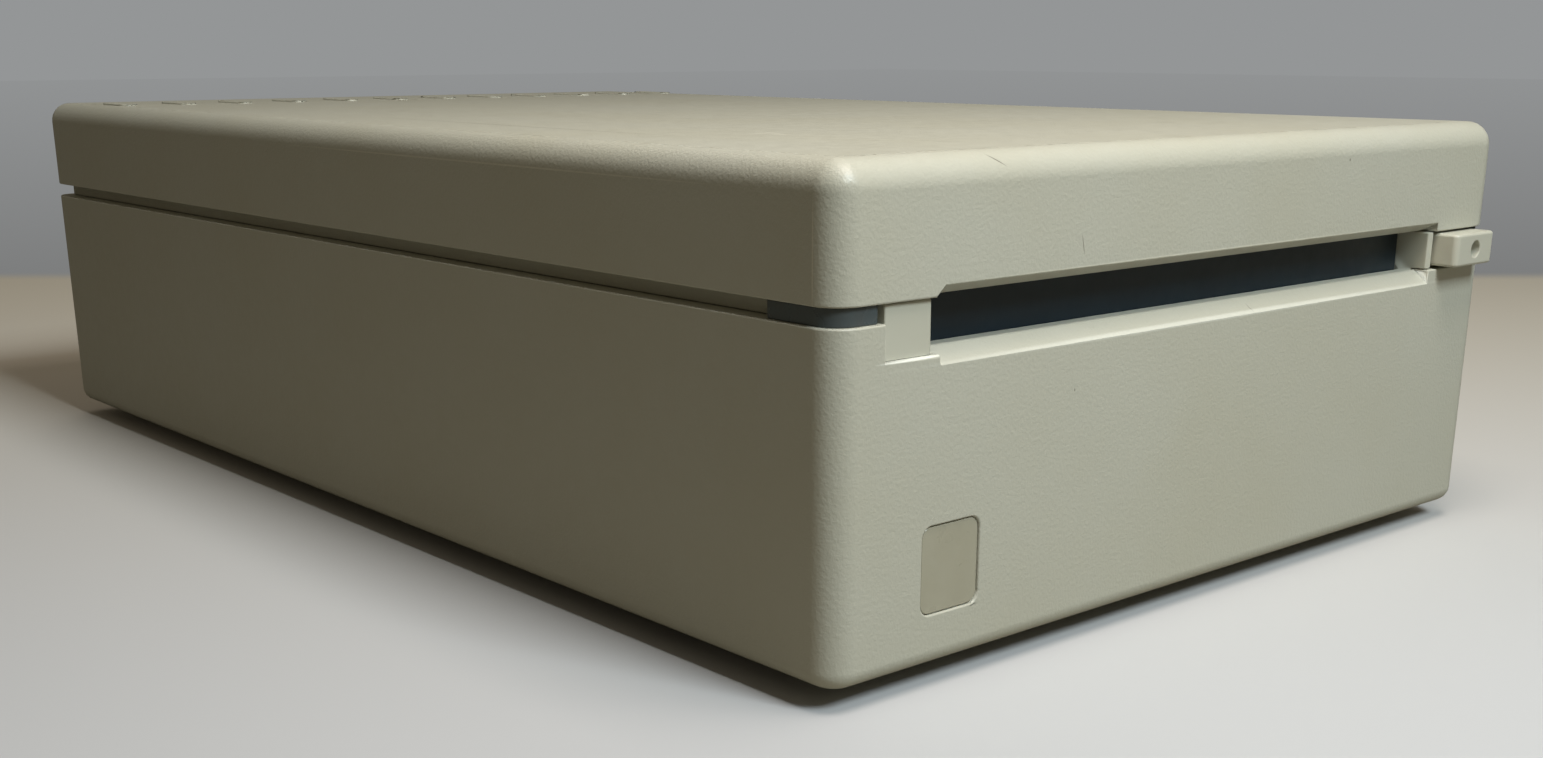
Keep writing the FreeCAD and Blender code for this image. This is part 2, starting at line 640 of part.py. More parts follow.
def eject_button():
    x1 = BUTTON_X0 + BUTTON_W
    cap = box(BUTTON_X0, x1, -BUTTON_PROUD, BUTTON_BACK, BUTTON_Z0, BUTTON_Z0 + BUTTON_H)
    front_uprights = [e for e in upright_edges(cap) if e.BoundBox.YMax < 0]
    cap = cap.makeFillet(BUTTON_CORNER_R, front_uprights)
    rim = [e for e in cap.Edges if e.BoundBox.YMin < 0 and e.BoundBox.ZLength < 1e-6]
    cap = cap.makeFillet(BUTTON_EDGE_R, rim)
    stem = rod(STEM_R, BUTTON_X, BUTTON_BACK, BUTTON_Z, BACK, STEM_L)
    lug_y = BUTTON_BACK + BUTTON_GUIDE_GAP
    lug = box(BUTTON_X - BUTTON_W / 4, BUTTON_X + BUTTON_W / 4, lug_y, lug_y + LUG_T,
              BUTTON_Z + BUTTON_SPRING_R, BUTTON_Z0 + BUTTON_H + LUG_H)
    lug_root = box(BUTTON_X - BUTTON_W / 4, BUTTON_X + BUTTON_W / 4, BUTTON_BACK - 1, lug_y + LUG_T,
                   BUTTON_Z + BUTTON_SPRING_R, BUTTON_Z0 + BUTTON_H)
    button = cap.fuse([stem, lug, lug_root]).removeSplitter()
    return button.cut(rod(PINHOLE_R, BUTTON_X, -BUTTON_PROUD - 1, BUTTON_Z, BACK, PINHOLE_D + 1))


def button_spring():
    """Coil between the back of the button and the eject switch."""
    wire_r = SPRING_WIRE / 2
    turn_r = BUTTON_SPRING_R - SPRING_WIRE
    y0 = BUTTON_BACK + wire_r
    length = FRAME_Y0 - BUTTON_BACK - SPRING_WIRE
    helix = Part.makeHelix(length / BUTTON_SPRING_TURNS, length, turn_r)
    start = Part.Wire(Part.makeCircle(wire_r, Vector(turn_r, 0, 0), BACK))
    coil = Part.Wire(helix.Edges).makePipeShell([start], True, True)
    coil.rotate(Vector(0, 0, 0), RIGHT, -90)
    coil.translate(Vector(BUTTON_X, y0, BUTTON_Z))
    return coil


def eject_switch():
    """Push switch on the side of the drive frame, behind the button."""
    z0 = BUTTON_Z - SWITCH_H / 2
    return box(FRAME_X1, FRAME_X1 + SWITCH_W, FRAME_Y0, FRAME_Y0 + SWITCH_D, z0, z0 + SWITCH_H)


def drive_frame():
    """Open-fronted tray of the drive mechanism with its rear bulkhead, lugs and gear axle."""
    x0, x1, y0, y1 = FRAME_X0, FRAME_X1, FRAME_Y0, FRAME_Y1
    floor_z = FRAME_FLOOR_Z
    parts = [
        box(x0, x1, y0, y1, FRAME_Z0, floor_z),
        box(x0, x0 + FRAME_WALL, y0, y1, FRAME_Z0, FRAME_TOP_Z),
        box(x1 - FRAME_WALL, x1, y0, y1, FRAME_Z0, FRAME_TOP_Z),
        box(x0, x1, y1 - FRAME_WALL, y1, FRAME_Z0, floor_z + BULKHEAD_H),
        rod(AXLE_R, GEAR_X, GEAR_Y, floor_z, UP, SLIDE_Z0 + RACK_T + 1 - floor_z),
        rod(AXLE_R + 1, GEAR_X, GEAR_Y, floor_z, UP, WHEEL_Z - FIT_GAP - floor_z),
    ]
    lug_y1 = RAIL_Y0 + RAIL_LUG_L
    for sx in (-1, 1):
        x = MECH_X + sx * RAIL_X
        parts.append(box(x - RAIL_LUG_W / 2, x + RAIL_LUG_W / 2, RAIL_Y0, lug_y1, floor_z, RAIL_Z + RAIL_R + 1))
    screw_x = MECH_X + SCREW_X
    parts.append(box(screw_x - RAIL_LUG_W / 2, screw_x + RAIL_LUG_W / 2, RAIL_Y0, lug_y1,
                     floor_z, SCREW_Z - LEAD_R - RUN_CLEARANCE + 1))
    frame = parts[0].fuse(parts[1:]).removeSplitter()
    return frame.cut(Part.makeCompound(frame_cuts()))


def frame_cuts():
    """Pin slots, rail sockets, the lead screw's rest, screw holes and the cable cut-out."""
    cuts = []
    for y in HOLDER_PIN_Y:
        cuts.append(slot_prism(y, HOLDER_PIN_Z, y, HOLDER_PIN_Z - HOLDER_DROP, PIN_SLOT_R,
                               FRAME_X0 - 1, FRAME_X1 + 1))
    for sx in (-1, 1):
        cuts.append(rod(RAIL_R, MECH_X + sx * RAIL_X, RAIL_Y0, RAIL_Z, BACK, FRAME_Y1 - RAIL_Y0 - FRAME_WALL / 2))
    cuts.append(rod(LEAD_R + RUN_CLEARANCE, MECH_X + SCREW_X, RAIL_Y0 - 1, SCREW_Z, BACK, RAIL_LUG_L + 2))
    cuts += [rod(FRAME_SCREW_R + HOLE_CLEARANCE, x, y, FRAME_Z0 - 1, UP, FRAME_FLOOR_T + 2)
             for x, y in post_places()]
    return cuts


def top_shield():
    """Pressed sheet over the drive frame with two side flanges."""
    x0, x1 = FRAME_X0 - SHIELD_T, FRAME_X1 + SHIELD_T
    low = FRAME_TOP_Z - SHIELD_FLANGE_H
    parts = [
        box(FRAME_X0, FRAME_X1, FRAME_Y0, FRAME_Y1, FRAME_TOP_Z, FRAME_TOP_Z + SHIELD_T),
        box(x0, FRAME_X0, SHIELD_FLANGE_Y0, FRAME_Y1, low, FRAME_TOP_Z + SHIELD_T),
        box(FRAME_X1, x1, SHIELD_FLANGE_Y0, FRAME_Y1, low, FRAME_TOP_Z + SHIELD_T),
    ]
    return parts[0].fuse(parts[1:]).removeSplitter()


def disk_holder():
    """Sheet tray that takes the cartridge and drops with it, with four guide pins."""
    half = HOLDER_HALF_W
    y0, y1 = HOLDER_Y0, HOLDER_Y1
    low, high = HOLDER_LIP_Z, HOLDER_TOP_Z
    parts = [box(MECH_X - half, MECH_X + half, y0, y1, high - SHEET_T, high)]
    for sx in (-1, 1):
        wall = sorted((MECH_X + sx * half, MECH_X + sx * (half - SHEET_T)))
        lip = sorted((MECH_X + sx * half, MECH_X + sx * (half - HOLDER_LIP_W)))
        parts.append(box(wall[0], wall[1], y0, y1, low, high))
        parts.append(box(lip[0], lip[1], y0, y1, low, low + SHEET_T))
    for y in HOLDER_PIN_Y:
        reach = FRAME_W / 2
        parts.append(rod(HOLDER_PIN_R, MECH_X - reach, y, HOLDER_PIN_Z, RIGHT, reach - half + SHEET_T / 2))
        parts.append(rod(HOLDER_PIN_R, MECH_X + half - SHEET_T / 2, y, HOLDER_PIN_Z, RIGHT,
                         reach - half + SHEET_T / 2))
    holder = parts[0].fuse(parts[1:]).removeSplitter()
    window = box(MECH_X - WINDOW_W / 2, MECH_X + WINDOW_W / 2, WINDOW_Y0, y1 + 1, high - 2, high + 1)
    return holder.cut(window)


def rack_prism():
    """Rack that the rack gear drives, on the inner side of the slide plate's left flange."""
    pitch = math.pi * GEAR_MODULE
    tip = GEAR_MODULE
    root = 1.25 * GEAR_MODULE
    lean = math.tan(math.radians(PRESSURE_DEG))
    half = pitch / 4 - BACKLASH / 2
    back_x = MECH_X - SLIDE_HALF_W
    first = GEAR_Y - RACK_TEETH / 2 * pitch
    points = [(back_x, first)]
    for i in range(RACK_TEETH):
        mid = first + (i + 0.5) * pitch
        mid += pitch / 2
        points += [(RACK_LINE_X - root, mid - half - root * lean), (RACK_LINE_X + tip, mid - half + tip * lean),
                   (RACK_LINE_X + tip, mid + half - tip * lean), (RACK_LINE_X - root, mid + half + root * lean)]
    points.append((back_x, first + (RACK_TEETH + 1) * pitch))
    loop = [Vector(x, y, SLIDE_Z0) for x, y in points + points[:1]]
    return Part.Face(Part.makePolygon(loop)).extrude(Vector(0, 0, RACK_T))


def slide_plate():
    """U-shaped slide with ramp slots that drops the holder as the rack pulls it forwards."""
    half = SLIDE_HALF_W
    x0, x1 = MECH_X - half, MECH_X + half
    z0 = SLIDE_Z0
    parts = [box(x0, x1, SLIDE_Y0, SLIDE_Y0 + SLIDE_BAR_D, z0, z0 + SHEET_T)]
    parts.append(box(x0, x0 + SHEET_T, SLIDE_Y0, SLIDE_Y1, z0, z0 + SLIDE_WALL_H))
    parts.append(box(x1 - SHEET_T, x1, SLIDE_Y0, SLIDE_Y1, z0, z0 + SLIDE_WALL_H))
    parts.append(box(x0, x0 + SLIDE_FLANGE_W, SLIDE_Y0, SLIDE_Y1, z0, z0 + SHEET_T))
    parts.append(box(x1 - SLIDE_FLANGE_W, x1, SLIDE_Y0, SLIDE_Y1, z0, z0 + SHEET_T))
    arm_x1 = RACK_LINE_X - 1.25 * GEAR_MODULE
    parts.append(box(x0, arm_x1, SLIDE_Y1 - 1, GEAR_Y, z0, z0 + RACK_T))
    parts.append(rack_prism())
    plate = parts[0].fuse(parts[1:]).removeSplitter()
    ramps = [slot_prism(y, HOLDER_PIN_Z, y + SLIDE_TRAVEL, HOLDER_PIN_Z - HOLDER_DROP, PIN_SLOT_R, x0 - 1, x1 + 1)
             for y in HOLDER_PIN_Y]
    return plate.cut(Part.makeCompound(ramps))


def involute(angle):
    """Involute function of a pressure angle in radians."""
    return math.tan(angle) - angle


def gear_blank(teeth, x, y, z, thickness, tooth_angle):
    """Spur gear with involute flanks and one tooth pointing at tooth_angle degrees."""
    pitch_r = GEAR_MODULE * teeth / 2
    base_r = pitch_r * math.cos(math.radians(PRESSURE_DEG))
    tip_r = pitch_r + GEAR_MODULE
    root_r = pitch_r - 1.25 * GEAR_MODULE
    half_pitch = math.pi / (2 * teeth) - BACKLASH / (2 * pitch_r) + involute(math.radians(PRESSURE_DEG))
    flank = [root_r] if root_r < base_r else []
    start = max(root_r, base_r)
    flank += [start + (tip_r - start) * i / 3 for i in range(4)]
    points = []
    for tooth in range(teeth):
        mid = math.radians(tooth_angle) + tooth * 2 * math.pi / teeth
        sides = []
        for radius in flank:
            half = half_pitch - involute(math.acos(min(base_r / radius, 1)))
            sides.append((radius, half))
        for radius, half in sides:
            points.append((radius, mid - half))
        for radius, half in reversed(sides):
            points.append((radius, mid + half))
    loop = [Vector(x + r * math.cos(a), y + r * math.sin(a), z) for r, a in points + points[:1]]
    return Part.Face(Part.makePolygon(loop)).extrude(Vector(0, 0, thickness))


def eject_gear():
    """Two gears on one hub: the wheel meshes with the motor pinion, the small gear with the rack."""
    rack_top = SLIDE_Z0 + RACK_T
    wheel = gear_blank(WHEEL_TEETH, GEAR_X, GEAR_Y, WHEEL_Z, WHEEL_T, MESH_DEG)
    hub = rod(AXLE_R + 1.5, GEAR_X, GEAR_Y, WHEEL_Z, UP, SLIDE_Z0 - WHEEL_Z)
    small = gear_blank(RACK_GEAR_TEETH, GEAR_X, GEAR_Y, SLIDE_Z0, rack_top - SLIDE_Z0, 180)
    gear = wheel.fuse([hub, small])
    return gear.cut(rod(AXLE_R + RUN_CLEARANCE, GEAR_X, GEAR_Y, WHEEL_Z - 1, UP, rack_top - WHEEL_Z + 2))


def motor_pinion():
    """Pinion with the motor's shaft through it."""
    gap_angle = MESH_DEG + 180 + 180 / PINION_TEETH
    pinion = gear_blank(PINION_TEETH, PINION_X, PINION_Y, WHEEL_Z, WHEEL_T, gap_angle)
    shaft_z = FRAME_FLOOR_Z + 1
    shaft = rod(MOTOR_SHAFT_R, PINION_X, PINION_Y, shaft_z, UP, WHEEL_Z + WHEEL_T - shaft_z)
    return pinion.fuse(shaft)


def eject_motor():
    """Motor can that stands on the frame's floor with its shaft upwards."""
    can = rod(EJECT_MOTOR_R, PINION_X, PINION_Y, FRAME_FLOOR_Z, UP, EJECT_MOTOR_H)
    return can.cut(rod(MOTOR_SHAFT_R + RUN_CLEARANCE, PINION_X, PINION_Y, FRAME_FLOOR_Z + 1 - FIT_GAP, UP,
                       EJECT_MOTOR_H))


def spindle_stator():
    """Stator board with the bearing tube."""
    z0 = FRAME_FLOOR_Z
    base = rod(STATOR_R, MECH_X, SPINDLE_Y, z0, UP, STATOR_T)
    tube = rod(BEARING_R, MECH_X, SPINDLE_Y, z0, UP, BEARING_TOP_Z - z0)
    bore = rod(SHAFT_R + RUN_CLEARANCE, MECH_X, SPINDLE_Y, z0 + 0.5, UP, BEARING_TOP_Z)
    return base.fuse(tube).removeSplitter().cut(bore)


def spindle_rotor():
    """Flat rotor with the disk hub, its drive pin and the shaft."""
    drum = rod(ROTOR_R, MECH_X, SPINDLE_Y, ROTOR_Z0, UP, ROTOR_Z1 - ROTOR_Z0)
    well = rod(BEARING_R + FIT_GAP, MECH_X, SPINDLE_Y, ROTOR_Z0 - 1, UP, BEARING_TOP_Z + FIT_GAP - ROTOR_Z0 + 1)
    hub = rod(HUB_R, MECH_X, SPINDLE_Y, ROTOR_Z1, UP, HUB_TOP_Z - ROTOR_Z1)
    shaft_z = FRAME_FLOOR_Z + 1
    shaft = rod(SHAFT_R, MECH_X, SPINDLE_Y, shaft_z, UP, SHAFT_TOP_Z - shaft_z)
    pin = rod(DRIVE_PIN_R, MECH_X + DRIVE_PIN_X, SPINDLE_Y, HUB_TOP_Z, UP, DRIVE_PIN_H)
    return drum.cut(well).fuse([hub, shaft, pin]).removeSplitter()


def guide_rods():
    """Two polished rods that carry the head carriage."""
    length = FRAME_Y1 - RAIL_Y0 - FRAME_WALL / 2
    return [rod(RAIL_R, MECH_X + sx * RAIL_X, RAIL_Y0, RAIL_Z, BACK, length) for sx in (-1, 1)]


def stepper_motor():
    """Round motor on the bulkhead that turns the lead screw."""
    can = rod(STEPPER_R, MECH_X + SCREW_X, STEPPER_Y0, SCREW_Z, BACK, STEPPER_L)
    return can.cut(rod(LEAD_R + RUN_CLEARANCE, MECH_X + SCREW_X, STEPPER_Y0 - 1, SCREW_Z, BACK, STEPPER_L / 2 + 1))


def lead_screw():
    """Screw from the stepper motor to the rest at its front, with a collar at the motor."""
    start = RAIL_Y0 - RUN_CLEARANCE
    end = STEPPER_Y0 + STEPPER_L / 2 - RUN_CLEARANCE
    shaft = rod(LEAD_R, MECH_X + SCREW_X, start, SCREW_Z, BACK, end - start)
    collar = rod(LEAD_R + 1, MECH_X + SCREW_X, STEPPER_Y0 - 1.5, SCREW_Z, BACK, 1.2)
    flat = box(MECH_X + SCREW_X + LEAD_R, MECH_X + SCREW_X + LEAD_R + 1, STEPPER_Y0 - 2, STEPPER_Y0, 0, CASE_H)
    return shaft.fuse(collar.cut(flat)).removeSplitter()


def head_carriage():
    """Block on the guide rods with the nut, the lower head arm and the ears of the upper arm."""
    y0, y1 = CARRIAGE_Y0, CARRIAGE_Y0 + CARRIAGE_L
    x0, x1 = MECH_X - CARRIAGE_HALF_W, MECH_X + CARRIAGE_HALF_W
    nut_x = MECH_X + SCREW_X
    arm_y0 = HEAD_Y - HEAD_PAD / 2
    arm_top = LOWER_ARM_Z0 + ARM_T
    parts = [
        box(x0, x1, y0, y1, CARRIAGE_Z0, CARRIAGE_Z1),
        box(x1 - 1, nut_x + NUT_HALF_W, y0, y0 + 2 * NUT_HALF_W, SCREW_Z - NUT_HALF_W, SCREW_Z + NUT_HALF_W),
        box(MECH_X - ARM_W / 2, MECH_X + ARM_W / 2, y0, y1, CARRIAGE_Z1 - 1, arm_top),
        box(MECH_X - ARM_W / 2, MECH_X + ARM_W / 2, arm_y0, y0, LOWER_ARM_Z0, arm_top),
        box(MECH_X - ARM_POST_W / 2, MECH_X + ARM_POST_W / 2, ARM_POST_Y0, y1, CARRIAGE_Z1 - 1, ARM_PIVOT_Z - 3),
    ]
    for sx in (-1, 1):
        ear = sorted((MECH_X + sx * ARM_POST_W / 2, MECH_X + sx * (ARM_POST_W / 2 - EAR_T)))
        parts.append(box(ear[0], ear[1], ARM_POST_Y0, y1, ARM_PIVOT_Z - 4, ARM_PIVOT_Z + 2))
    block = parts[0].fuse(parts[1:]).removeSplitter()
    bores = [rod(RAIL_R + RUN_CLEARANCE, MECH_X + sx * RAIL_X, y0 - 1, RAIL_Z, BACK, CARRIAGE_L + 2)
             for sx in (-1, 1)]
    bores.append(rod(LEAD_R + RUN_CLEARANCE, nut_x, y0 - 1, SCREW_Z, BACK, CARRIAGE_L))
    bores.append(rod(ARM_PIVOT_R, MECH_X - ARM_POST_W / 2 - 1, ARM_PIVOT_Y, ARM_PIVOT_Z, RIGHT, ARM_POST_W + 2))
    return block.cut(Part.makeCompound(bores))


def head_pad(z0):
    """Ceramic head on one of the arms."""
    half = HEAD_PAD / 2
    return box(MECH_X - half, MECH_X + half, HEAD_Y - half, HEAD_Y + half, z0, z0 + HEAD_PAD_T)


def upper_head_arm():
    """Swing arm over the disk with the upper head under its tip."""
    half = ARM_POST_W / 2 - EAR_T - FIT_GAP
    arm_z0 = ARM_PIVOT_Z - ARM_T / 2
    arm = box(MECH_X - half, MECH_X + half, HEAD_Y - HEAD_PAD / 2, ARM_PIVOT_Y, arm_z0, arm_z0 + ARM_T)
    barrel = rod(ARM_PIVOT_R + 1, MECH_X - half, ARM_PIVOT_Y, ARM_PIVOT_Z, RIGHT, 2 * half)
    arm = arm.fuse(barrel).removeSplitter()
    return arm.cut(rod(ARM_PIVOT_R + RUN_CLEARANCE, MECH_X - half - 1, ARM_PIVOT_Y, ARM_PIVOT_Z, RIGHT,
                       2 * half + 2))


def arm_pin():
    """Hinge pin of the upper head arm, held in the carriage's ears."""
    return rod(ARM_PIVOT_R, MECH_X - ARM_POST_W / 2, ARM_PIVOT_Y, ARM_PIVOT_Z, RIGHT, ARM_POST_W)


def logic_board():
    x0, x1 = MECH_X - BOARD_HALF_W, MECH_X + BOARD_HALF_W
    return box(x0, x1, BOARD_Y0, BOARD_Y0 + BOARD_L, BOARD_Z, BOARD_Z + BOARD_T)


def board_chips():
    """Flat packages on the logic board."""
    top = BOARD_Z + BOARD_T
    chips = []
    for across, along, wide, deep in PACKAGES:
        x = MECH_X + 2 * BOARD_HALF_W * across
        y = BOARD_Y0 + BOARD_L * along
        half_w = BOARD_HALF_W * wide
        half_d = BOARD_L * deep / 2
        chips.append(box(x - half_w, x + half_w, y - half_d, y + half_d, top, top + CHIP_H))
    return chips


def board_header():
    """Socket strip for the ribbon cable, at the rear edge of the logic board."""
    y1 = BOARD_Y0 + BOARD_L - HEADER_SETBACK
    top = BOARD_Z + BOARD_T
    return box(SOCKET_X - HEADER_W / 2, SOCKET_X + HEADER_W / 2, y1 - HEADER_D, y1, top, top + HEADER_H)


def ribbon_cable():
    """Flat cable from the header to the board behind the rear socket, with one upward fold."""
    y0 = BOARD_Y0 + BOARD_L - HEADER_SETBACK
    z0 = BOARD_Z + BOARD_T + HEADER_H / 2
    y1 = SOCKET_BOARD_Y
    z1 = SOCKET_Z
    fold = (z1 - z0) / 2
    t = RIBBON_T
    lower = box(SOCKET_X - RIBBON_W / 2, SOCKET_X + RIBBON_W / 2, y0, y1 - fold - t, z0, z0 + t)
    slope = side_prism([(y1 - fold - t, z0), (y1 - fold - t, z0 + t), (y1 - t - fold / 2, z1 + t), (y1, z1 + t),
                        (y1, z1), (y1 - fold / 2, z1)], SOCKET_X - RIBBON_W / 2, SOCKET_X + RIBBON_W / 2)
    return lower.fuse(slope).removeSplitter()


def disk_sensors():
    """Two small switches that feel the cartridge, on the frame's floor."""
    sensors = []
    for sx in (-1, 1):
        x = MECH_X + sx * SENSOR_X
        sensors.append(box(x - SENSOR_W / 2, x + SENSOR_W / 2, SENSOR_Y - SENSOR_W / 2, SENSOR_Y + SENSOR_W / 2,
                           FRAME_FLOOR_Z, FRAME_FLOOR_Z + SENSOR_H))
    return sensors


def socket_shell():
    """Metal flange and D-shaped shell of the rear socket."""
    tube_end = CASE_D + SHELL_PROUD
    flange = box(SOCKET_X - FLANGE_W / 2, SOCKET_X + FLANGE_W / 2, FLANGE_Y0, REAR_WALL_Y,
                 SOCKET_Z - FLANGE_H / 2, SOCKET_Z + FLANGE_H / 2)
    tube = front_prism(shell_outline(0), FLANGE_Y0, tube_end)
    inner = front_prism(shell_outline(-SHELL_T), FLANGE_Y0 - 1, tube_end + 1)
    shell = flange.fuse(tube).cut(inner).removeSplitter()
    holes = [rod(JACK_TAIL_R + HOLE_CLEARANCE, x, FLANGE_Y0 - 1, SOCKET_Z, BACK, FLANGE_T + 2) for x in jack_xs()]
    return shell.cut(Part.makeCompound(holes))


def socket_insert():
    """Insulator of the rear socket with two rows of contact holes."""
    front_end = CASE_D + SHELL_PROUD - SHELL_T
    body = front_prism(shell_outline(-SHELL_T - INSERT_GAP), INSERT_Y0, front_end)
    holes = []
    for row, count in enumerate(CONTACT_ROWS):
        z = SOCKET_Z + CONTACT_ROW_Z * (1 - 2 * row)
        for i in range(count):
            x = SOCKET_X + (i - (count - 1) / 2) * CONTACT_PITCH
            holes.append(rod(CONTACT_R, x, front_end - CONTACT_D, z, BACK, CONTACT_D + 1))
    return body.cut(Part.makeCompound(holes))


def socket_board():
    """Small upright board behind the rear socket."""
    return box(SOCKET_X - SOCKET_BOARD_W / 2, SOCKET_X + SOCKET_BOARD_W / 2, SOCKET_BOARD_Y, INSERT_Y0,
               SOCKET_Z - SOCKET_BOARD_H / 2, SOCKET_Z + SOCKET_BOARD_H / 2)


def jack_posts():
    """Hexagonal threaded posts on both sides of the rear socket."""
    posts = []
    hex_r = JACK_AF / math.sqrt(3)
    for x in jack_xs():
        points = []
        for i in range(6):
            a = math.radians(60 * i)
            points.append((x + hex_r * math.cos(a), SOCKET_Z + hex_r * math.sin(a)))
        post = front_prism(points, REAR_WALL_Y, CASE_D + JACK_PROUD)
        post = post.fuse(rod(JACK_TAIL_R, x, REAR_WALL_Y - JACK_TAIL_L, SOCKET_Z, BACK, JACK_TAIL_L))
        bore = rod(JACK_BORE_R, x, CASE_D, SOCKET_Z, BACK, JACK_PROUD + 1)
        posts.append(post.cut(bore))
    return posts


def cord_inlet():
    """Rubber grommet in the rear wall, open for the cord."""
    inner = rod(INLET_FLANGE_R - FIT_GAP, INLET_X, REAR_WALL_Y - INLET_FLANGE_T, INLET_Z, BACK, INLET_FLANGE_T)
    neck = rod(INLET_NECK_R, INLET_X, REAR_WALL_Y, INLET_Z, BACK, WALL)
    outer = rod(INLET_FLANGE_R, INLET_X, CASE_D, INLET_Z, BACK, INLET_FLANGE_T)
    bore = rod(INLET_BORE_R, INLET_X, REAR_WALL_Y - INLET_FLANGE_T - 1, INLET_Z, BACK, WALL + 2 * INLET_FLANGE_T + 2)
    return inner.fuse([neck, outer]).removeSplitter().cut(bore)


def rubber_feet():
    return [rod(FOOT_R, x, y, -FOOT_H, UP, FOOT_H + FOOT_SINK) for x, y in foot_places()]


def case_screws():
    """Four screws that come up from below into the cover's posts."""
    screws = []
    for x, y in boss_places():
        head = rod(SCREW_HEAD_R, x, y, SCREW_SEAT_Z - SCREW_HEAD_H, UP, SCREW_HEAD_H)
        shank = rod(SCREW_R, x, y, SCREW_SEAT_Z, UP, TRAY_H + SCREW_BITE - SCREW_SEAT_Z)
        screws.append(head.fuse(shank))
    return screws


def frame_screws():
    """Four screws that hold the drive frame on the tray's posts."""
    screws = []
    for x, y in post_places():
        head = rod(FRAME_SCREW_HEAD_R, x, y, FRAME_FLOOR_Z, UP, FRAME_SCREW_HEAD_H)
        shank = rod(FRAME_SCREW_R, x, y, FRAME_FLOOR_Z - FRAME_SCREW_L, UP, FRAME_SCREW_L)
        screws.append(head.fuse(shank))
    return screws


def build_nodes():
    """All nodes by name; a list is one node of several solids."""
    trim_left, trim_right = corner_trims()
    arm_bottom_z = ARM_PIVOT_Z - ARM_T / 2
    return {
        "lower_case": lower_case(),
        "upper_cover": upper_cover(),
        "front_bezel": front_bezel(),
        "corner_trim_left": trim_left,
        "corner_trim_right": trim_right,
        "badge_plate": badge_block(0, BADGE_POCKET - BADGE_T, BADGE_POCKET),
        "dust_door": dust_door(),
        "door_pin": hinge_bore(PIN_R),
        "door_spring": door_spring(),
        "eject_button": eject_button(),
        "button_spring": button_spring(),
        "eject_switch": eject_switch(),
        "drive_frame": drive_frame(),
        "top_shield": top_shield(),
        "disk_holder": disk_holder(),
        "slide_plate": slide_plate(),
        "eject_gear": eject_gear(),
        "motor_pinion": motor_pinion(),
        "eject_motor": eject_motor(),
        "spindle_stator": spindle_stator(),
        "spindle_rotor": spindle_rotor(),
        "guide_rods": guide_rods(),
        "stepper_motor": stepper_motor(),
        "lead_screw": lead_screw(),
        "head_carriage": head_carriage(),
        "lower_head": head_pad(LOWER_ARM_Z0 + ARM_T),
        "upper_head_arm": upper_head_arm(),
        "upper_head": head_pad(arm_bottom_z - HEAD_PAD_T),
        "arm_pin": arm_pin(),
        "logic_board": logic_board(),
        "board_chips": board_chips(),
        "board_header": board_header(),
        "ribbon_cable": ribbon_cable(),
        "disk_sensors": disk_sensors(),
        "socket_shell": socket_shell(),
        "socket_insert": socket_insert(),
        "socket_board": socket_board(),
        "jack_posts": jack_posts(),
        "cord_inlet": cord_inlet(),
        "rubber_feet": rubber_feet(),
        "case_screws": case_screws(),
        "frame_screws": frame_screws(),
    }


def export_all():
    """Write one STEP file per node, with the origin under the middle of the whole part."""
    os.makedirs("parts", exist_ok=True)
    whole_length = BUTTON_PROUD + CASE_D + JACK_PROUD
    shift = Vector(0, BUTTON_PROUD - whole_length / 2, FOOT_H)
    for name, piece in build_nodes().items():
        shape = Part.makeCompound(piece) if isinstance(piece, list) else piece
        shape.translate(shift)
        shape.exportStep("parts/" + name + ".step")
        print(name, len(shape.Solids), "valid" if shape.isValid() else "NOT VALID", round(shape.Volume, 2))


export_all()
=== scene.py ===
"""Looks of an external 3.5 inch floppy disk drive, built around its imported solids."""

import json
import logging
import math
from dataclasses import dataclass
from enum import Enum
from typing import Callable, Iterable

import bmesh
import bpy
from mathutils import Matrix, Vector


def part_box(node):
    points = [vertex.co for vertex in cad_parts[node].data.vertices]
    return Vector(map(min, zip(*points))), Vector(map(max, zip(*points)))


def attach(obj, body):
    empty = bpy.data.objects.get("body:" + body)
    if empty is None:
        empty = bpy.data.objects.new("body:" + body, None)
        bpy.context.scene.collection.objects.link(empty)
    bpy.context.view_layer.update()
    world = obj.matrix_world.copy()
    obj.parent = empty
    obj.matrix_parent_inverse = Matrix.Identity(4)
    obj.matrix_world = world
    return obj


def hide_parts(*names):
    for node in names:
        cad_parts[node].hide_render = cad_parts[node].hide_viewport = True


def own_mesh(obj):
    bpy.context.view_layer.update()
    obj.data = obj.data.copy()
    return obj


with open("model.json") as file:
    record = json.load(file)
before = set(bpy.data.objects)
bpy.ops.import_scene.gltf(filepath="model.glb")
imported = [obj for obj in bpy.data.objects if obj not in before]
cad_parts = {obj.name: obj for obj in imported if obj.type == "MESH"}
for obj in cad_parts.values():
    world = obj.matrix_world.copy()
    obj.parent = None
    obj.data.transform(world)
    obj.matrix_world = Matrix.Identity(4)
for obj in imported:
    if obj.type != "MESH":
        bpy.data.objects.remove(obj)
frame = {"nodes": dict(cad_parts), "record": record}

log = logging.getLogger("disk_drive")

Node = bpy.types.Node
Tree = bpy.types.NodeTree
Socket = bpy.types.NodeSocket
Mesh = bmesh.types.BMesh
Edge = bmesh.types.BMEdge
Piece = bpy.types.Object
Triple = tuple[float, float, float]
Values = dict[str | int, object]
Links = dict[str | int, Socket]

MM = 0.001

# Limits of the mesh work, in metres, radians and Blender's own weight from 0 to 100
MERGE_DISTANCE = 1e-6
LEVEL_TOLERANCE = 1e-5
FLAT_ANGLE = math.radians(0.6)
SHARP_ANGLE = math.radians(28.0)
FLAT_FACE_WEIGHT = 90

# Faces of round wire and of the rounding on a round rim
STEPS_PER_TURN = 28
WIRE_SIDES = 8
RIM_STEPS = 3

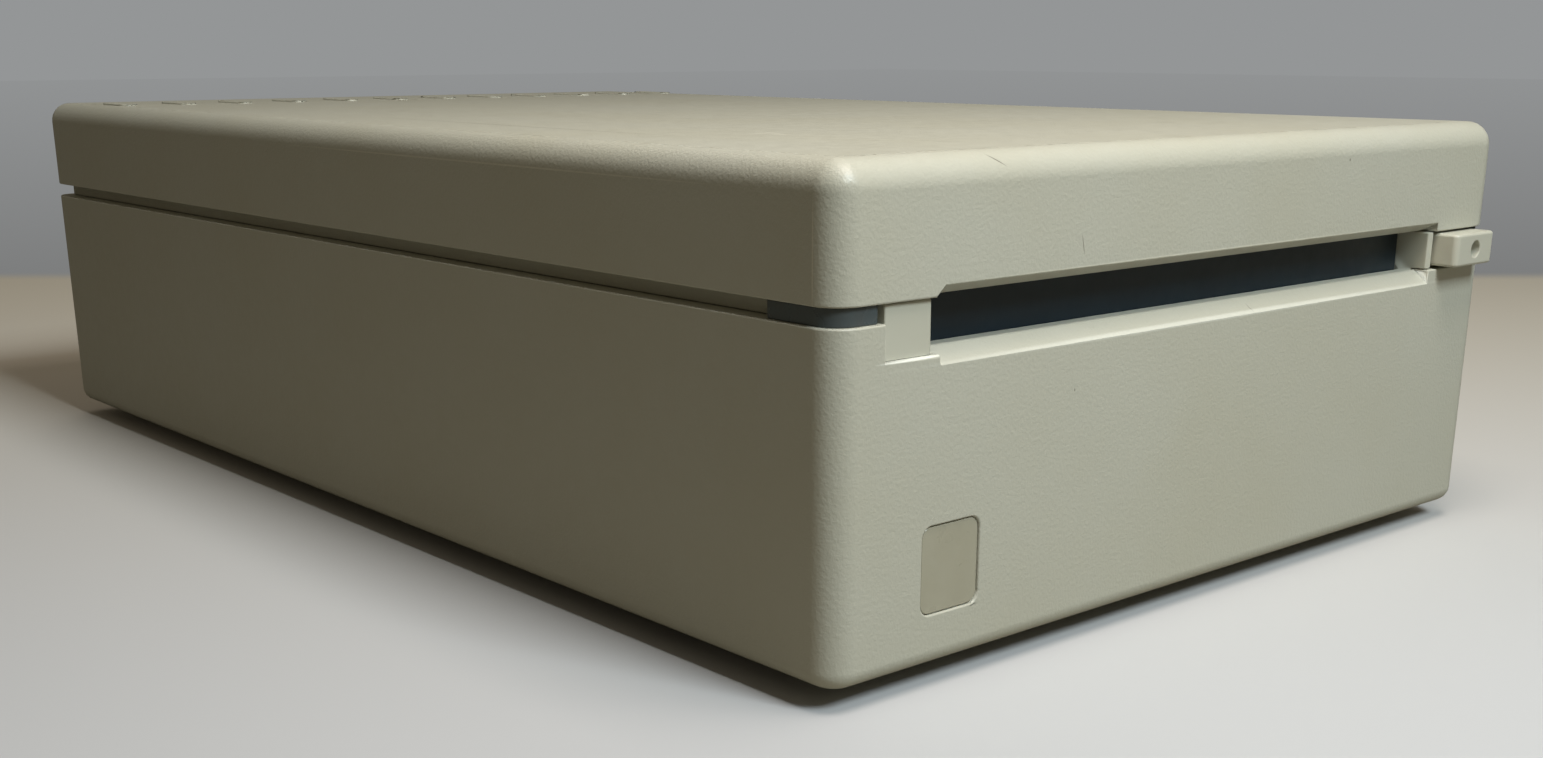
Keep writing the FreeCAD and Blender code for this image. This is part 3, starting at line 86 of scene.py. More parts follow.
# Constants of the sRGB curve
SRGB_KNEE = 0.04045
SRGB_SLOPE = 12.92
SRGB_OFFSET = 0.055
SRGB_POWER = 2.4

# Sockets of a Mix node that mixes colours
MIX_SHARE = 0
MIX_A = 6
MIX_B = 7
MIX_RESULT = 2

# Noise of the slow colour drift, of the gloss and of the grain, alike in all finishes
DRIFT_DETAIL = 4.0
DRIFT_ROUGHNESS = 0.6
DRIFT_RANGE = (0.35, 0.7)
GLOSS_DETAIL = 5.0
GLOSS_RANGE = (0.3, 0.7)
GLOSS_GRAINS = 4
GRAIN_DETAIL = 2.0

# Roughness of a clear coat, and the height on a mark's gradient where its colour is full
COAT_ROUGHNESS = 0.12
MARK_CORE = 0.6

# Size of one repeat of a wave texture whose scale is one
WAVE_REPEAT = 0.314


class Axis(Enum):
    """Axis that a round piece runs along."""

    X = Vector((1.0, 0.0, 0.0))
    Y = Vector((0.0, 1.0, 0.0))


def linear(hex_code: str) -> tuple[float, float, float, float]:
    """Turn an sRGB hex code into a linear colour.

    Args:
        hex_code: Six hex digits.

    Returns:
        Red, green, blue and an alpha of one.
    """
    channels = []
    for start in (0, 2, 4):
        value = int(hex_code[start:start + 2], 16) / 255
        curved = ((value + SRGB_OFFSET) / (1 + SRGB_OFFSET)) ** SRGB_POWER
        channels.append(value / SRGB_SLOPE if value <= SRGB_KNEE else curved)
    return channels[0], channels[1], channels[2], 1.0


def per_metre(size_mm: float) -> float:
    """Texture scale at which one repeat measures a size in millimetres."""
    return 1.0 / (size_mm * MM)


def add_node(tree: Tree, kind: str, values: Values | None = None, links: Links | None = None) -> Node:
    """Add a node to a tree, with its settings and its incoming links.

    Args:
        tree: Node tree that takes the node.
        kind: Blender's type name of the node.
        values: Settings and socket values, by attribute name, socket name or socket number.
        links: Sockets to link into the node, by input name or number.

    Returns:
        The new node.
    """
    node = tree.nodes.new(kind)
    for key, value in (values or {}).items():
        if isinstance(key, str) and hasattr(node, key):
            setattr(node, key, value)
        else:
            node.inputs[key].default_value = value
    for key, socket in (links or {}).items():
        tree.links.new(socket, node.inputs[key])
    return node


def blend(tree: Tree, share: Socket, first: str | Socket, second: str | Socket) -> Socket:
    """Mix two colours.

    Args:
        tree: Node tree that takes the node.
        share: Share of the second colour.
        first: Hex code or socket of the first colour.
        second: Hex code or socket of the second colour.

    Returns:
        Colour socket.
    """
    mix = add_node(tree, "ShaderNodeMix", {"data_type": "RGBA"}, {MIX_SHARE: share})
    for key, colour in ((MIX_A, first), (MIX_B, second)):
        if isinstance(colour, str):
            mix.inputs[key].default_value = linear(colour)
        else:
            tree.links.new(colour, mix.inputs[key])
    return mix.outputs[MIX_RESULT]


# Finishes


@dataclass(frozen=True)
class Mark:
    """Small stain, scratch or scuff, or a painted highlight, at a known place on a surface.

    Attributes:
        centre: Place in millimetres in the shared frame.
        radii: Half sizes in millimetres.
        colour: Colour at the middle of the mark.
        strength: How much of that colour covers the surface.
        turn: Turn about the y axis, then the z axis, in degrees.
    """

    centre: Triple
    radii: Triple
    colour: str
    strength: float
    turn: tuple[float, float] = (0.0, 0.0)


@dataclass(frozen=True)
class Finish:
    """Procedural surface of one real material.

    Attributes:
        name: Common name of the material and how its surface was made.
        slot: Material slot of the record that the finish belongs to.
        base: Main colour.
        shade: Colour that the mottling drifts towards.
        mottle_mm: Size of the colour drift.
        mottle: Share of the second colour at its strongest.
        roughness: Mean roughness.
        roughness_swing: Spread of the roughness round its mean.
        metallic: One for metals.
        ior: Refractive index; metals keep the default.
        grain_mm: Size of the surface grain.
        grain_height_mm: Height of the grain.
        fine_mm: Size of a second, finer grain.
        fine_height_mm: Height of the finer grain.
        coat: Weight of a clear coat.
        stretch: Scale of the patterns along x, y and z, for drawn or ground surfaces.
        marks: Stains, scratches and painted highlights.
    """

    name: str
    slot: str
    base: str
    shade: str
    mottle_mm: float = 25.0
    mottle: float = 0.35
    roughness: float = 0.5
    roughness_swing: float = 0.08
    metallic: float = 0.0
    ior: float = 1.5
    grain_mm: float = 0.8
    grain_height_mm: float = 0.0
    fine_mm: float = 0.25
    fine_height_mm: float = 0.0
    coat: float = 0.0
    stretch: Triple = (1.0, 1.0, 1.0)
    marks: tuple[Mark, ...] = ()

    def material(self) -> bpy.types.Material:
        """Make the Blender material of this finish.

        Returns:
            A new node material.
        """
        made = bpy.data.materials.new(self.name)
        made.use_nodes = True
        tree = made.node_tree
        tree.nodes.clear()
        place = add_node(tree, "ShaderNodeTexCoord").outputs["Object"]
        pattern = add_node(tree, "ShaderNodeMapping", {"Scale": self.stretch}, {"Vector": place}).outputs[0]
        shader = add_node(tree, "ShaderNodeBsdfPrincipled", {
            "Metallic": self.metallic, "IOR": self.ior,
            "Coat Weight": self.coat, "Coat Roughness": COAT_ROUGHNESS,
        })
        colour = self.marked(tree, place, self.colour(tree, pattern))
        tree.links.new(colour, shader.inputs["Base Color"])
        tree.links.new(self.rough(tree, pattern), shader.inputs["Roughness"])
        relief = self.relief(tree, pattern)
        if relief is not None:
            tree.links.new(relief, shader.inputs["Normal"])
        add_node(tree, "ShaderNodeOutputMaterial", links={"Surface": shader.outputs[0]})
        return made

    def colour(self, tree: Tree, place: Socket) -> Socket:
        """Base colour with its slow drift.

        Args:
            tree: Tree of the material.
            place: Pattern coordinates.

        Returns:
            Colour socket.
        """
        drift = add_node(tree, "ShaderNodeTexNoise", {
            "Scale": per_metre(self.mottle_mm), "Detail": DRIFT_DETAIL, "Roughness": DRIFT_ROUGHNESS,
        }, {"Vector": place})
        amount = add_node(tree, "ShaderNodeMapRange", {
            "From Min": DRIFT_RANGE[0], "From Max": DRIFT_RANGE[1], "To Max": self.mottle,
        }, {"Value": drift.outputs["Fac"]})
        return blend(tree, amount.outputs[0], self.base, self.shade)

    def marked(self, tree: Tree, place: Socket, colour: Socket) -> Socket:
        """Lay the marks over a colour.

        Args:
            tree: Tree of the material.
            place: Unstretched object coordinates.
            colour: Colour under the marks.

        Returns:
            Colour socket.
        """
        for mark in self.marks:
            local = add_node(tree, "ShaderNodeMapping", {
                "vector_type": "TEXTURE",
                "Location": Vector(mark.centre) * MM, "Scale": Vector(mark.radii) * MM,
                "Rotation": (0.0, math.radians(mark.turn[0]), math.radians(mark.turn[1])),
            }, {"Vector": place})
            ball = add_node(tree, "ShaderNodeTexGradient", {"gradient_type": "SPHERICAL"},
                            {"Vector": local.outputs[0]})
            amount = add_node(tree, "ShaderNodeMapRange", {
                "interpolation_type": "SMOOTHSTEP", "From Max": MARK_CORE, "To Max": mark.strength,
            }, {"Value": ball.outputs["Fac"]})
            colour = blend(tree, amount.outputs[0], colour, mark.colour)
        return colour

    def rough(self, tree: Tree, place: Socket) -> Socket:
        """Roughness with its spread.

        Args:
            tree: Tree of the material.
            place: Pattern coordinates.

        Returns:
            Value socket.
        """
        spots = add_node(tree, "ShaderNodeTexNoise", {
            "Scale": per_metre(self.grain_mm * GLOSS_GRAINS), "Detail": GLOSS_DETAIL,
        }, {"Vector": place})
        return add_node(tree, "ShaderNodeMapRange", {
            "From Min": GLOSS_RANGE[0], "From Max": GLOSS_RANGE[1],
            "To Min": self.roughness - self.roughness_swing, "To Max": self.roughness + self.roughness_swing,
        }, {"Value": spots.outputs["Fac"]}).outputs[0]

    def relief(self, tree: Tree, place: Socket) -> Socket | None:
        """Bump of the grain.

        Args:
            tree: Tree of the material.
            place: Pattern coordinates.

        Returns:
            Normal socket, or None for a finish with no grain.
        """
        normal = None
        for size, height in ((self.grain_mm, self.grain_height_mm), (self.fine_mm, self.fine_height_mm)):
            if height <= 0.0:
                continue
            grain = add_node(tree, "ShaderNodeTexNoise", {"Scale": per_metre(size), "Detail": GRAIN_DETAIL},
                             {"Vector": place})
            links: Links = {"Height": grain.outputs["Fac"]}
            if normal is not None:
                links["Normal"] = normal
            bump = add_node(tree, "ShaderNodeBump", {"Strength": 1.0, "Distance": height * MM}, links)
            normal = bump.outputs[0]
        return normal


@dataclass(frozen=True)
class BoardFinish(Finish):
    """Green solder mask over etched copper: the tracks show as slightly lighter lines.

    Attributes:
        cell_mm: Size of the pattern that the tracks are laid out on.
        track: Width of a track as a share of that size.
        run: Length between two joins as a share of it.
        spacing: Distance between tracks as a share of it.
    """

    cell_mm: float = 10.0
    track: float = 0.03
    run: float = 0.9
    spacing: float = 0.13

    def colour(self, tree: Tree, place: Socket) -> Socket:
        """Mask colour with lighter tracks.

        Args:
            tree: Tree of the material.
            place: Pattern coordinates.

        Returns:
            Colour socket.
        """
        mask = linear(self.base)
        tracks = add_node(tree, "ShaderNodeTexBrick", {
            "Scale": per_metre(self.cell_mm), "Color1": mask, "Color2": mask, "Mortar": linear(self.shade),
            "Mortar Size": self.track, "Brick Width": self.run, "Row Height": self.spacing,
        }, {"Vector": place})
        return tracks.outputs["Color"]


@dataclass(frozen=True)
class RibbonFinish(Finish):
    """Flat cable: parallel round cores under vinyl give ridges.

    The cores of such a cable are 1.27 mm apart; the ridges are drawn coarser than that.

    Attributes:
        ridge_mm: Distance between the ridges as drawn.
        ridge_height_mm: Height of a ridge.
    """

    ridge_mm: float = 3.99
    ridge_height_mm: float = 0.3

    def relief(self, tree: Tree, place: Socket) -> Socket | None:
        """Ridges of the cores.

        Args:
            tree: Tree of the material.
            place: Pattern coordinates.

        Returns:
            Normal socket.
        """
        ridges = add_node(tree, "ShaderNodeTexWave", {
            "wave_type": "BANDS", "bands_direction": "X", "wave_profile": "SIN",
            "Scale": WAVE_REPEAT * per_metre(self.ridge_mm), "Distortion": 0.0,
        }, {"Vector": place})
        return add_node(tree, "ShaderNodeBump", {"Strength": 1.0, "Distance": self.ridge_height_mm * MM},
                        {"Height": ridges.outputs["Fac"]}).outputs[0]


def case_marks() -> tuple[Mark, ...]:
    """Scuffs and hairlines of a used case, and painted highlights on edges and fillet lines, in millimetres
    in the shared frame.
    """
    dark, pale, ledge, lip = "6b665a", "e6e2d2", "f6f7ee", "f2f3ea"
    return (
        # Hairline and scratches on the top
        Mark((-45.9, -30.0, 53.8), (0.16, 44.0, 1.0), dark, 0.75),
        Mark((-35.0, -64.0, 53.8), (0.3, 5.0, 1.0), pale, 0.6, (0.0, 8.0)),
        Mark((-33.4, -62.0, 53.8), (0.25, 3.0, 1.0), pale, 0.5, (0.0, -14.0)),
        # Scratches and specks on the front
        Mark((-38.2, -100.6, 52.9), (1.9, 1.2, 0.09), dark, 0.8, (28.0, -14.0)),
        Mark((-25.0, -101.15, 43.8), (0.08, 0.6, 1.4), dark, 0.75, (-14.0, 0.0)),
        Mark((24.2, -101.15, 50.3), (0.16, 0.4, 0.24), dark, 0.8),
        Mark((25.4, -100.9, 52.6), (0.12, 0.5, 0.4), dark, 0.5),
        Mark((6.8, -100.7, 34.3), (0.09, 1.2, 0.9), dark, 0.7, (-10.0, 0.0)),
        Mark((-25.2, -101.15, 28.6), (0.14, 0.4, 0.22), dark, 0.7),
        # Painted highlights along the tangent lines of the cover's fillets on the left side
        Mark((-60.0, -38.0, 50.6), (0.6, 60.0, 0.14), pale, 0.4),
        Mark((-60.0, -98.0, 45.0), (0.6, 0.14, 7.0), pale, 0.4),
        # Painted highlights on the upper edge of the finger relief (partly its pale trimmed flash), on the
        # ledge beside the slot and on the finger lip's lower edge
        Mark((0.0, -101.15, 41.5), (52.0, 0.6, 0.16), pale, 0.5),
        Mark((-49.6, -101.0, 34.62), (6.0, 0.9, 0.2), ledge, 0.8),
        Mark((0.0, -101.1, 33.75), (60.0, 0.9, 0.42), lip, 0.35),
    )


# Acrylonitrile butadiene styrene, spark-eroded mould: a fine leathery grain that scatters the light,
# slightly yellowed by age.
CASE = Finish(
    "moulded_abs_spark_eroded", "case_plastic", "bcbbae", "b7b4a2", mottle_mm=30.0, mottle=0.5,
    roughness=0.42, roughness_swing=0.06, ior=1.52, grain_mm=0.44, grain_height_mm=0.045, fine_mm=0.2,
    fine_height_mm=0.014, marks=case_marks(),
)
# The same plastic from a polished mould: smooth, a little glossier and cleaner in colour.
BEZEL = Finish(
    "moulded_abs_smooth", "bezel_plastic", "c2c1b3", "bab7a7", mottle_mm=20.0, mottle=0.35,
    roughness=0.36, roughness_swing=0.05, ior=1.52, grain_mm=1.6, grain_height_mm=0.006,
)
# Smoked acrylic: dark, hard and glossy, with a faint haze from handling.
SMOKED = Finish(
    "smoked_acrylic_polished", "smoked_plastic", "4a5356", "524c45", mottle_mm=6.0, mottle=0.5,
    roughness=0.26, roughness_swing=0.06, ior=1.49, grain_mm=0.9, grain_height_mm=0.004,
)
# Blue-black moulded plastic with a fine satin texture.
DOOR = Finish(
    "moulded_plastic_satin", "door_plastic", "111f29", "162833", mottle_mm=12.0, mottle=0.5,
    roughness=0.36, roughness_swing=0.08, ior=1.5, grain_mm=0.5, grain_height_mm=0.006,
)
# Plain satin inlay with a clear lacquer.
BADGE = Finish(
    "moulded_inlay_lacquered", "badge_plastic", "a9a593", "9d9884", mottle_mm=4.0, mottle=0.4,
    roughness=0.3, roughness_swing=0.05, ior=1.5, grain_mm=0.6, grain_height_mm=0.004, coat=0.4,
)
# Zinc-plated pressed sheet: cool, brushed by the rolling mill and slightly cloudy.
SHEET = Finish(
    "zinc_plated_sheet_steel", "sheet_steel", "b9bcbf", "9ea3a8", mottle_mm=9.0, mottle=0.8,
    roughness=0.34, roughness_swing=0.1, metallic=1.0, grain_mm=0.5, grain_height_mm=0.003,
    stretch=(6.0, 0.6, 1.0),
)
# Ground and polished steel: bright, with hardly any grain.
BRIGHT = Finish(
    "ground_steel_polished", "bright_steel", "c4c6c8", "a9acaf", mottle_mm=5.0, mottle=0.5,
    roughness=0.18, roughness_swing=0.06, metallic=1.0, grain_mm=0.3, grain_height_mm=0.002,
)
# Die-cast aluminium alloy, as cast: grey, pitted and soft in its shine.
CAST = Finish(
    "die_cast_aluminium", "cast_alloy", "aeb0b2", "8f9194", mottle_mm=8.0, mottle=0.7,
    roughness=0.48, roughness_swing=0.12, metallic=1.0, grain_mm=0.9, grain_height_mm=0.02,
)
# Drawn spring wire: darker steel with an oily shine.
SPRING = Finish(
    "drawn_spring_steel", "spring_steel", "8d9094", "6f7276", mottle_mm=2.0, mottle=0.5,
    roughness=0.28, roughness_swing=0.08, metallic=1.0, grain_mm=0.2, grain_height_mm=0.002,
)
# Natural acetal: milky white engineering plastic, satin from the mould.
ACETAL = Finish(
    "moulded_acetal", "acetal", "e2dfd3", "d4cfbe", mottle_mm=5.0, mottle=0.4,
    roughness=0.34, roughness_swing=0.05, ior=1.48, grain_mm=0.4, grain_height_mm=0.004,
)
# Black glass-filled polyester: matt with slightly paler flecks.
BLACK = Finish(
    "moulded_polyester_glass_filled", "black_plastic", "1c1c1d", "2b2b2c", mottle_mm=1.2, mottle=0.6,
    roughness=0.42, roughness_swing=0.1, ior=1.57, grain_mm=0.35, grain_height_mm=0.006,
)
# Glass epoxy board under green solder mask: glossy, with copper tracks beneath.
BOARD = BoardFinish(
    "glass_epoxy_solder_mask", "board", "0f4a2a", "1d6b40", mottle_mm=10.0, mottle=0.4,
    roughness=0.3, roughness_swing=0.06, ior=1.55, grain_mm=0.5, grain_height_mm=0.006, coat=0.5,
)
# Nickel-plated motor can: bright and slightly streaked round the can by drawing.
MOTOR = Finish(
    "nickel_plated_motor_can", "motor_steel", "b3b0a8", "99958c", mottle_mm=7.0, mottle=0.6,
    roughness=0.26, roughness_swing=0.08, metallic=1.0, grain_mm=0.4, grain_height_mm=0.002,
    stretch=(1.0, 1.0, 5.0),
)
# Grey vinyl flat cable, extruded: satin and ridged along its cores.
RIBBON = RibbonFinish(
    "extruded_vinyl_flat_cable", "ribbon", "9fa2a5", "8c8f93", mottle_mm=15.0, mottle=0.4,
    roughness=0.45, roughness_swing=0.05, ior=1.53,
)
# Sintered ferrite ceramic, lapped to a dark mirror.
CERAMIC = Finish(
    "lapped_ferrite_ceramic", "ceramic", "2a2724", "38332e", mottle_mm=1.5, mottle=0.5,
    roughness=0.12, roughness_swing=0.04, ior=1.9, grain_mm=0.3, grain_height_mm=0.001,
)
# Moulded black rubber: matt, greyed by dust and wear.
RUBBER = Finish(
    "moulded_rubber", "foot_rubber", "232323", "3a3936", mottle_mm=6.0, mottle=0.6,
    roughness=0.72, roughness_swing=0.1, ior=1.52, grain_mm=0.7, grain_height_mm=0.02,
)
# Phosphor bronze, gold flashed: the warm shine of contacts and pins, in the slot of the bright steel.
GOLD = Finish(
    "gold_flashed_bronze", "bright_steel", "d8b060", "c49a4a", mottle_mm=1.5, mottle=0.5,
    roughness=0.25, roughness_swing=0.06, metallic=1.0, grain_mm=0.2, grain_height_mm=0.002,
)

# One finish for each material slot of the record
SLOT_FINISHES = (CASE, BEZEL, SMOKED, DOOR, BADGE, SHEET, BRIGHT, CAST, SPRING, ACETAL, BLACK, BOARD, MOTOR,
                 RIBBON, CERAMIC, RUBBER)


class Workshop:
    """Makes materials once and dresses pieces with them."""

    def __init__(self) -> None:
        """Start with no material made."""
        self._made: dict[str, bpy.types.Material] = {}

    def material(self, finish: Finish) -> bpy.types.Material:
        """Material of a finish, made at its first use.

        Args:
            finish: Finish to look up.

        Returns:
            The shared material.
        """
        if finish.name not in self._made:
            self._made[finish.name] = finish.material()
        return self._made[finish.name]

    def dress(self, piece: Piece, finish: Finish) -> None:
        """Give a piece one finish all over.

        Args:
            piece: Object to dress.
            finish: Finish that it takes.
        """
        piece.data.materials.clear()
        piece.data.materials.append(self.material(finish))

    def dress_nodes(self, nodes: Iterable[str]) -> None:
        """Give CAD nodes the finish of their own material slot.

        Args:
            nodes: Names of the nodes.
        """
        by_slot = {finish.slot: finish for finish in SLOT_FINISHES}
        slots = {row["node"]: row["material_slot"] for row in frame["record"]["subparts"]}
        for node in nodes:
            self.dress(frame["nodes"][node], by_slot[slots[node]])
            log.info("node %s dressed as %s", node, slots[node])


WORKSHOP = Workshop()


# Mesh work


def box_of(node: str) -> tuple[Vector, Vector]:
    """Lowest and highest corner of a CAD node, in metres."""
    low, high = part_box(node)
    return Vector(low), Vector(high)


def spread(middle: float, count: int, pitch: float) -> list[float]:
    """Places of a row of evenly spaced pieces.

    Args:
        middle: Middle of the row.
        count: Number of pieces.
        pitch: Distance between two of them.

    Returns:
        One place for each piece.
    """
    return [middle + (i - (count - 1) / 2) * pitch for i in range(count)]


def merged_copy(node: str) -> Mesh:
    """Copy a CAD node's triangles and join them into clean faces.

    Args:
        node: Name of the node.

    Returns:
        A bmesh with shared vertices and whole flat faces.
    """
    bm = bmesh.new()
    bm.from_mesh(frame["nodes"][node].data)
    bmesh.ops.remove_doubles(bm, verts=bm.verts, dist=MERGE_DISTANCE)
    bmesh.ops.dissolve_degenerate(bm, edges=bm.edges, dist=MERGE_DISTANCE)
    bmesh.ops.dissolve_limit(bm, angle_limit=FLAT_ANGLE, use_dissolve_boundaries=False,
                             verts=bm.verts, edges=bm.edges)
    bmesh.ops.recalc_face_normals(bm, faces=bm.faces)
    return bm


def sharp_edges(bm: Mesh) -> list[Edge]:
    """Outward edges that a mould or a press would round.

    Args:
        bm: Mesh to search.

    Returns:
        The outward edges with two faces that meet sharply.
    """
    return [edge for edge in bm.edges if edge.is_convex and edge.calc_face_angle(0.0) > SHARP_ANGLE]


def round_edges(bm: Mesh, edges: list[Edge], radius_mm: float, steps: int) -> None:
    """Round edges by a small radius.

    Args:
        bm: Mesh to change.
        edges: Edges to round.
        radius_mm: Width of the rounding in millimetres.
        steps: Faces across the rounding.
    """
    bmesh.ops.bevel(bm, geom=edges, offset=radius_mm * MM, offset_type="OFFSET", segments=steps,
                    profile=0.5, affect="EDGES", clamp_overlap=False, loop_slide=True, material=-1)


def finish_piece(bm: Mesh, name: str, body: str, finish: Finish) -> Piece:
    """Turn a bmesh into a smooth-shaded object that rides on a body.

    Args:
        bm: Mesh in metres in the shared frame; it is freed.
        name: Name of the new piece.
        body: CAD body that it rides on.
        finish: Finish of the whole piece.

    Returns:
        The new object.
    """
    for face in bm.faces:
        face.smooth = True
    mesh = bpy.data.meshes.new(name)
    bm.to_mesh(mesh)
    bm.free()
    piece = bpy.data.objects.new(name, mesh)
    bpy.context.scene.collection.objects.link(piece)
    weigh = piece.modifiers.new("flat_faces_stay_flat", "WEIGHTED_NORMAL")
    weigh.mode = "FACE_AREA"
    weigh.weight = FLAT_FACE_WEIGHT
    WORKSHOP.dress(piece, finish)
    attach(piece, body)
    log.info("piece %s rides on %s", name, body)
    return piece


def cylinder(bm: Mesh, centre: Vector, radius: float, length: float, axis: Axis, sides: int) -> None:
    """Add a closed cylinder to a mesh.

    Args:
        bm: Mesh that takes it.
        centre: Middle of the cylinder, in metres.
        radius: Radius in metres.
        length: Length in metres.
        axis: Direction that it runs along.
        sides: Faces round it.
    """
    turn = axis.value.to_track_quat("Z", "Y").to_matrix().to_4x4()
    bmesh.ops.create_cone(bm, cap_ends=True, segments=sides, radius1=radius, radius2=radius, depth=length,
                          matrix=Matrix.Translation(centre) @ turn)


def block(bm: Mesh, low: Triple, high: Triple) -> None:
    """Add a closed block to a mesh.

    Args:
        bm: Mesh that takes it.
        low: Lowest corner in metres.
        high: Highest corner in metres.
    """
    start, end = Vector(low), Vector(high)
    size = Matrix.Diagonal((*(end - start), 1.0))
    bmesh.ops.create_cube(bm, size=1.0, matrix=Matrix.Translation((start + end) / 2) @ size)


def coil(bm: Mesh, start: Vector, axis: Axis, length: float, radius: float, wire: float,
         turns: float) -> None:
    """Add a helix of round wire to a mesh.

    Args:
        bm: Mesh that takes it.
        start: Point on the axis where the helix starts, in metres.
        axis: Direction that it runs along.
        length: Length along the axis in metres.
        radius: Radius of the wire's centre line.
        wire: Radius of the wire.
        turns: Number of turns.
    """
    along = axis.value
    side = along.orthogonal().normalized()
    other = along.cross(side)
    count = int(turns * STEPS_PER_TURN)
    around = [2 * math.pi * k / WIRE_SIDES for k in range(WIRE_SIDES)]
    rings = []
    for i in range(count + 1):
        angle = 2 * math.pi * turns * i / count
        out = side * math.cos(angle) + other * math.sin(angle)
        rise = (along * length / turns + along.cross(out) * 2 * math.pi * radius).normalized()
        up = rise.cross(out)
        middle = start + along * (length * i / count) + out * radius
        rings.append([bm.verts.new(middle + (out * math.cos(turn) + up * math.sin(turn)) * wire)
                      for turn in around])
    for one, two in zip(rings, rings[1:]):
        for k in range(WIRE_SIDES):
            after = (k + 1) % WIRE_SIDES
            bm.faces.new((one[k], one[after], two[after], two[k]))
    bm.faces.new(rings[0])
    bm.faces.new(reversed(rings[-1]))
    bmesh.ops.recalc_face_normals(bm, faces=bm.faces)


def islands(bm: Mesh) -> list[tuple[Vector, Vector]]:
    """Lowest and highest corner of each separate solid of a mesh.

    Args:
        bm: Mesh to take apart.

    Returns:
        One pair of corners for each solid.
    """
    found, seen = [], set()
    for first in bm.verts:
        if first in seen:
            continue
        group, queue = [], [first]
        seen.add(first)
        while queue:
            vert = queue.pop()
            group.append(vert.co)
            for edge in vert.link_edges:
                other = edge.other_vert(vert)
                if other not in seen:
                    seen.add(other)
                    queue.append(other)
        found.append((Vector(min(point[i] for point in group) for i in range(3)),
                      Vector(max(point[i] for point in group) for i in range(3))))
    return found


@dataclass(frozen=True)
class EdgeZone:
    """Box whose edges take a rounding of their own.

    Attributes:
        low_mm: Lowest corner in the shared frame.
        high_mm: Highest corner.
        radius_mm: Rounding of the edges inside.
        steps: Faces across that rounding.
    """

    low_mm: Triple
    high_mm: Triple
    radius_mm: float
    steps: int

    def holds(self, edge: Edge) -> bool:
        """Whether both ends of an edge lie in the box.

        Args:
            edge: Edge to look at.

        Returns:
            True if they do.
        """
        rows = zip(self.low_mm, edge.verts[0].co, edge.verts[1].co, self.high_mm)
        return all(low * MM <= min(one, two) and max(one, two) <= high * MM for low, one, two, high in rows)


@dataclass(frozen=True)
class Rounded:
    """CAD node that is shown as a merged copy with rounded edges.

    Attributes:
        node: Name of the node.
        body: CAD body that it belongs to.
        finish: Finish of the copy.
        radius_mm: Rounding of its sharp edges.
        steps: Faces across each rounding.
        zones: Places with a broader or finer rounding.
        shape: Change to the copy before its edges are rounded.
    """

    node: str
    body: str
    finish: Finish
    radius_mm: float
    steps: int = 2
    zones: tuple[EdgeZone, ...] = ()
    shape: Callable[[Mesh], None] | None = None

    def build(self) -> Piece:
        """Make the copy in place of the node.

        Returns:
            The new piece.
        """
        bm = merged_copy(self.node)
        if self.shape is not None:
            self.shape(bm)
        for zone in self.zones:
            held = [edge for edge in sharp_edges(bm) if zone.holds(edge)]
            round_edges(bm, held, zone.radius_mm, zone.steps)
        rest = [edge for edge in sharp_edges(bm) if not any(zone.holds(edge) for zone in self.zones)]
        round_edges(bm, rest, self.radius_mm, self.steps)
        piece = finish_piece(bm, f"{self.node}_rounded", self.body, self.finish)
        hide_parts(self.node)
        return piece


# Sub-assemblies


@dataclass
class CaseShells:
    """Tray and cover of the case.

    Attributes:
        edge_mm: Rounding left by the mould at the parting edges.
        lip: Softer front edge of the finger lip.
        ledge: Bevel of the ledge under the bezel's left strip, which shows as a light line.
        relief: Crisp upper edge of the finger relief.
        ribs: Soft upper edges of the rear ribs.
        top_mm: Height of the cover's flat top, where the ribs start.
        rib_share: Height of the ribs as a share of the CAD ones, which lets them fade into the grain.
        skirt_mm: Height of the cover skirt's lower edge, and the height at which it closes the groove.
        most_corners: Corners above which a face of the cover is split into triangles.
    """

    edge_mm: float = 0.22
    lip: EdgeZone = EdgeZone((-46.3, -101.4, 33.5), (46.0, -101.0, 33.7), radius_mm=0.5, steps=4)
    ledge: EdgeZone = EdgeZone((-53.6, -101.4, 34.6), (-45.7, -101.0, 34.8), radius_mm=0.2, steps=1)
    relief: EdgeZone = EdgeZone((-48.0, -101.4, 40.2), (48.0, -101.0, 41.6), radius_mm=0.12, steps=2)
    ribs: EdgeZone = EdgeZone((-60.0, 60.0, 53.9), (60.0, 100.0, 55.0), radius_mm=0.2, steps=3)
    top_mm: float = 53.8
    rib_share: float = 0.55
    skirt_mm: tuple[float, float] = (38.7, 38.43)
    most_corners: int = 40

    def build(self) -> list[Piece]:
        """Make both shells.

        Returns:
            The new pieces.
        """
        tray = Rounded("lower_case", "case", CASE, self.edge_mm, zones=(self.lip, self.ledge))
        cover = Rounded("upper_cover", "case", CASE, self.edge_mm, zones=(self.relief, self.ribs),
                        shape=self.fit_cover)
        return [tray.build(), cover.build()]

    def fit_cover(self, bm: Mesh) -> None:
        """Lower the ribs, let the skirt close the groove, and split faces that wind round the case.

        Args:
            bm: Merged copy of the cover.
        """
        skirt, groove = (height * MM for height in self.skirt_mm)
        top = self.top_mm * MM
        for vert in bm.verts:
            if vert.co.z > top + MERGE_DISTANCE:
                vert.co.z = top + (vert.co.z - top) * self.rib_share
            elif abs(vert.co.z - skirt) < LEVEL_TOLERANCE:
                vert.co.z = groove
        winding = [face for face in bm.faces if len(face.verts) > self.most_corners]
        bmesh.ops.triangulate(bm, faces=winding)


